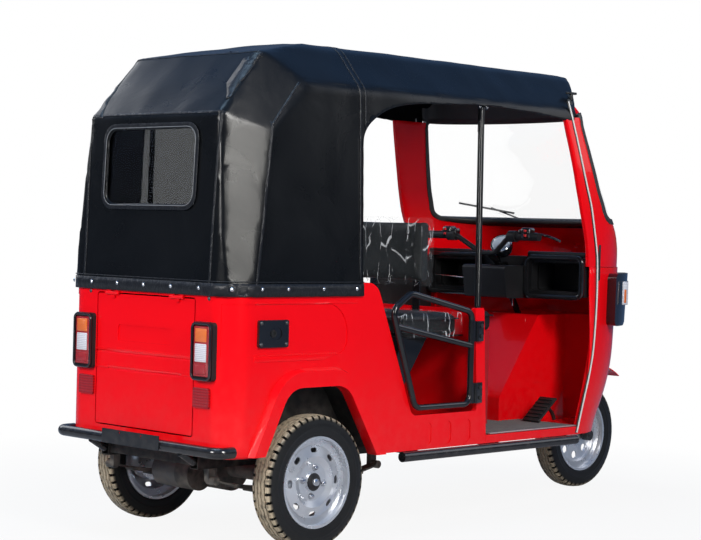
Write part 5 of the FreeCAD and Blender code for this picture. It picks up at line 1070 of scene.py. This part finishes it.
for side, word in sides:
    lever_line = [
        (side * 0.255, -0.520, bar_z), (side * 0.300, -0.552, 1.142), (side * 0.345, -0.548, 1.130),
        (side * 0.385, -0.535, 1.120)]
    tube_run("brake_lever_" + word, lever_line, 0.0055, black_gloss, "steering")
key_at = Vector((-0.060, -0.662, 0.905))
lock_outline = ((0.0001, 0.010), (0.010, 0.009), (0.013, 0.004), (0.014, -0.006), (0.0001, -0.006))
add_piece("key_lock", turned(lock_outline, key_at, (0, 1, 0.2)), bright_metal)
for name, size, shift, radius in (
    ("key_blade", (0.003, 0.022, 0.034), (0, 0.018, -0.014), 0.001),
    ("key_fob", (0.004, 0.010, 0.040), (0.004, 0.020, -0.052), 0.0015),
):
    add_piece(name, soft_block(size, key_at + Vector(shift), radius), bright_metal)


# Dash trays: a glossy rounded bezel round each open tray, a padded ledge in two halves over the dash,
# in the dash's own nearly black moulding, and a thin bright rail on the left.
for side, word in sides:
    bezel = put_at(round_frame(0.318, 0.190, 0.038, 0.022, 0.020, 0.006), (side * 0.280, -0.6460, 0.966))
    add_piece("tray_bezel_" + word, bezel, black_gloss)
    ledge = [(side * x, -0.652, 1.064) for x in (0.130, 0.23, 0.33, 0.436)]
    tube_run("dash_ledge_" + word, ledge, 0.011, black_moulding)
rail = [(0.40, -0.640, 0.955), (0.25, -0.632, 0.948), (0.10, -0.632, 0.945), (0.02, -0.640, 0.950)]
tube_run("dash_rail", rail, 0.0035, bright_metal)


# Driver's floor: a grey ribbed rubber mat, the ribbed pedal plate on its arm, and a pale scuff strip
# along each sill.
mat_rubber = finish(
    "mat_rubber", (0.10, 0.098, 0.094), (0.16, 0.155, 0.145), (0.5, 0.7), patch=12, grain=(500, 0.3),
    dust=0.2, specular=0.3)
ribs = [soft_block((0.870, 0.560, 0.003), (0, -0.318, 0.3525), 0.001, 1)]
for index in range(26):
    ribs.append(soft_block((0.850, 0.007, 0.003), (0, -0.060 - index * 0.020, 0.355), 0.001, 1))
add_piece("floor_mat", gather(ribs), mat_rubber)
edge_strip = finish(
    "scuff_strip", (0.52, 0.51, 0.50), (0.40, 0.39, 0.37), (0.3, 0.45), patch=14, grain=(600, 0.06), dust=0.3,
    metal=0.5)
for side, word in sides:
    sill = soft_block((0.012, 0.560, 0.004), (side * 0.444, -0.320, 0.3525), 0.0015, 2)
    add_piece("sill_strip_" + word, sill, edge_strip)
pedal = [soft_block((0.090, 0.150, 0.010), (0, 0, 0), 0.004)]
for index in range(6):
    pedal.append(soft_block((0.074, 0.008, 0.006), (0, -0.055 + index * 0.022, 0.007), 0.002))
plate = put_at(gather(pedal), (-0.285, -0.560, 0.408), math.radians(-38))
add_piece("brake_pedal", plate, trim_black)
arm_line = [(-0.285, -0.590, 0.420), (-0.285, -0.640, 0.410), (-0.285, -0.660, 0.360)]
tube_run("pedal_arm", arm_line, 0.008, trim_black)


# Bolts and small brackets: hexagon heads with washers on the gate's hinges and the pole heads, and round
# screws about the charging socket. The hinge leaves are cut short at the front.
def hex_bolt(at, facing, size):
    head = (
        (0.0001, size * 0.75), (size * 0.85, size * 0.72), (size, size * 0.55), (size, 0.0), (0.0001, 0.0))
    washer = (
        (0.0001, 0.0014), (size * 1.35, 0.0014), (size * 1.45, 0.0004), (size * 1.45, -0.002),
        (0.0001, -0.002))
    return [turned(head, at, facing, 6), turned(washer, at, facing, 20)]


heads = []
hinge_copy = merged_copy("gate_hinges")
leaf_x = min(vert.co.x for vert in hinge_copy.verts if vert.co.y < 0.030)
cut_plane(hinge_copy, (0, 0.042, 0), (0, -1, 0))
bmesh.ops.holes_fill(hinge_copy, edges=[edge for edge in hinge_copy.edges if edge.is_boundary])
for low_z, top_z in ((0.481, 0.561), (0.722, 0.802)):
    for share in (0.24, 0.76):
        heads += hex_bolt((leaf_x - 0.0014, 0.054, low_z + (top_z - low_z) * share), (-1, 0, 0), 0.0058)
hinges = add_piece("gate_hinge_leaves", hinge_copy, black_enamel)
soften(hinges, 0.0012, 2, 30)
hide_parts("gate_hinges")
add_piece("gate_hinge_bolts", gather(heads), dark_screw)
pole_parts = []
pole_heads = []
for side in (-1, 1):
    pole_parts.append(soft_block((0.006, 0.060, 0.024), (side * 0.412, 0.015, 1.645), 0.002, 2))
    for step in (-0.022, 0.022):
        pole_heads += hex_bolt((side * 0.415, 0.015 + step, 1.645), (side, 0, 0), 0.0055)
add_piece("pole_brackets", gather(pole_parts), black_enamel)
add_piece("pole_bolts", gather(pole_heads), bright_metal)
port_low, port_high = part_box("charging_port")
port_heads = []
for y in (port_low.y + 0.011, port_high.y - 0.011):
    for z in (port_low.z + 0.011, port_high.z - 0.011):
        port_heads.append(turned(cap_outline, (port_low.x - 0.0002, y, z), (-1, 0, 0), 14))
add_piece("port_screws", gather(port_heads), dark_screw)
socket_outline = (
    (0.0001, 0.004), (0.0070, 0.004), (0.0080, 0.008), (0.0130, 0.008), (0.0135, 0.0), (0.0001, 0.0))
add_piece("port_socket", turned(socket_outline, (-0.4555, 1.163, 0.775), (-1, 0, 0), 24), trim_black)


# Camera at the photograph's place and a plain pale studio: floor, soft lamps and a white surround.
# The lamps are broad panels, so the black cloth and the red paint both show soft highlights.
eye = Vector((-5.0872, 5.5328, 1.1409))
yaw, pitch, roll = -0.798, -0.0215, -0.0268
ahead = Vector((math.cos(pitch) * math.cos(yaw), math.cos(pitch) * math.sin(yaw), math.sin(pitch)))
level = ahead.cross(Vector((0, 0, 1))).normalized()
sunk = ahead.cross(level)
right = math.cos(roll) * level + math.sin(roll) * sunk
below = -math.sin(roll) * level + math.cos(roll) * sunk
lens = bpy.data.cameras.new("photo_camera")
lens.lens = 93.9
lens.sensor_width = 36
lens.sensor_fit = "HORIZONTAL"
camera = bpy.data.objects.new("photo_camera", lens)
turn = Matrix((right, -below, -ahead)).transposed()
camera.matrix_world = Matrix.Translation(eye) @ turn.to_4x4()
scene.collection.objects.link(camera)
scene.camera = camera
scene.view_settings.view_transform = "Standard"
def seen_ray(tree):
    # One where the camera looks straight at it or through a pane.
    path = add_node(tree, "LightPath")
    seen = add_node(tree, "Math", operation="MAXIMUM")
    wire(tree, (path, "Is Camera Ray", seen, 0), (path, "Is Transmission Ray", seen, 1))
    return seen


world = bpy.data.worlds.new("studio")
scene.world = world
world.use_nodes = True
sky = world.node_tree
lit_sky = sky.nodes["Background"]
lit_sky.inputs["Strength"].default_value = 0.24
plain_white = add_node(sky, "Background", {"Color": (1, 1, 1, 1), "Strength": 1.0})
around = add_node(sky, "TexCoord")
height = add_node(sky, "SeparateXYZ")
rise = add_node(sky, "MapRange", {"From Min": 0.0, "From Max": 0.8})
blue = add_node(sky, "Mix", {"A": (0.36, 0.37, 0.39, 1), "B": (0.48, 1.10, 2.4, 1)}, data_type="RGBA")
blend = add_node(sky, "MixShader")
wire(
    sky, (around, "Generated", height, "Vector"), (height, "Z", rise, "Value"),
    (rise, "Result", blue, "Factor"), (blue, "Result", lit_sky, "Color"),
    (seen_ray(sky), "Value", blend, "Fac"), (lit_sky, "Background", blend, 1),
    (plain_white, "Background", blend, 2), (blend, "Shader", sky.nodes["World Output"], "Surface"))

floor_shape = bmesh.new()
bmesh.ops.create_grid(floor_shape, x_segments=24, y_segments=24, size=60)
floor_mesh = bpy.data.meshes.new("studio_floor")
floor_shape.to_mesh(floor_mesh)
floor_shape.free()
floor_finish = finish(
    "floor_white", (0.40, 0.40, 0.40), (0.37, 0.37, 0.37), (0.8, 0.9), patch=0.8, grain=(60, 0.01), dust=0.0)
ground = floor_finish.node_tree
bright = add_node(ground, "Emission", {"Strength": 1.0})
place = add_node(ground, "TexCoord")
far = add_node(ground, "VectorMath", operation="LENGTH")
spread = add_node(ground, "MapRange", {"From Min": 1.4, "From Max": 3.0, "To Min": 0.91, "To Max": 1.0})
share = add_node(ground, "Math", operation="MULTIPLY")
shown = add_node(ground, "MixShader")
wire(
    ground, (place, "Object", far, 0), (far, "Value", spread, "Value"), (spread, "Result", share, 1),
    (seen_ray(ground), "Value", share, 0), (share, "Value", shown, "Fac"),
    (ground.nodes["Principled BSDF"], "BSDF", shown, 1), (bright, "Emission", shown, 2),
    (shown, "Shader", ground.nodes["Material Output"], "Surface"))
floor_mesh.materials.append(floor_finish)
floor = bpy.data.objects.new("studio_floor", floor_mesh)
scene.collection.objects.link(floor)


def soft_lamp(name, at, aim, width, height, power, colour=(1, 1, 1)):
    data = bpy.data.lights.new(name, "AREA")
    data.shape = "RECTANGLE"
    data.size = width
    data.size_y = height
    data.energy = power
    data.color = colour
    lamp = bpy.data.objects.new(name, data)
    lamp.location = at
    lamp.rotation_euler = (Vector(aim) - Vector(at)).to_track_quat("-Z", "Y").to_euler()
    scene.collection.objects.link(lamp)


soft_lamp("key_panel", (-5.4, 2.0, 4.0), (0, 0.1, 0.8), 1.2, 1.2, 260, (1.0, 0.98, 0.95))
soft_lamp("rear_panel_light", (-0.4, 5.8, 2.8), (0, 0.6, 0.9), 1.5, 1.5, 250, (1.0, 0.98, 0.96))
soft_lamp("front_panel_light", (-3.2, -4.4, 3.2), (0, -0.4, 0.8), 2.6, 2.6, 36)
soft_lamp("far_panel_light", (4.2, 1.0, 3.0), (0, 0, 0.9), 2.6, 2.6, 50)
soft_lamp("top_panel", (0.4, 1.6, 5.4), (0, 0.4, 0), 2.4, 2.4, 110, (0.52, 0.76, 1.0))
soft_lamp("corner_panel", (-5.3, 1.85, 2.3), (-0.4, 1.3, 1.3), 0.5, 1.7, 90, (1.0, 0.98, 0.92))
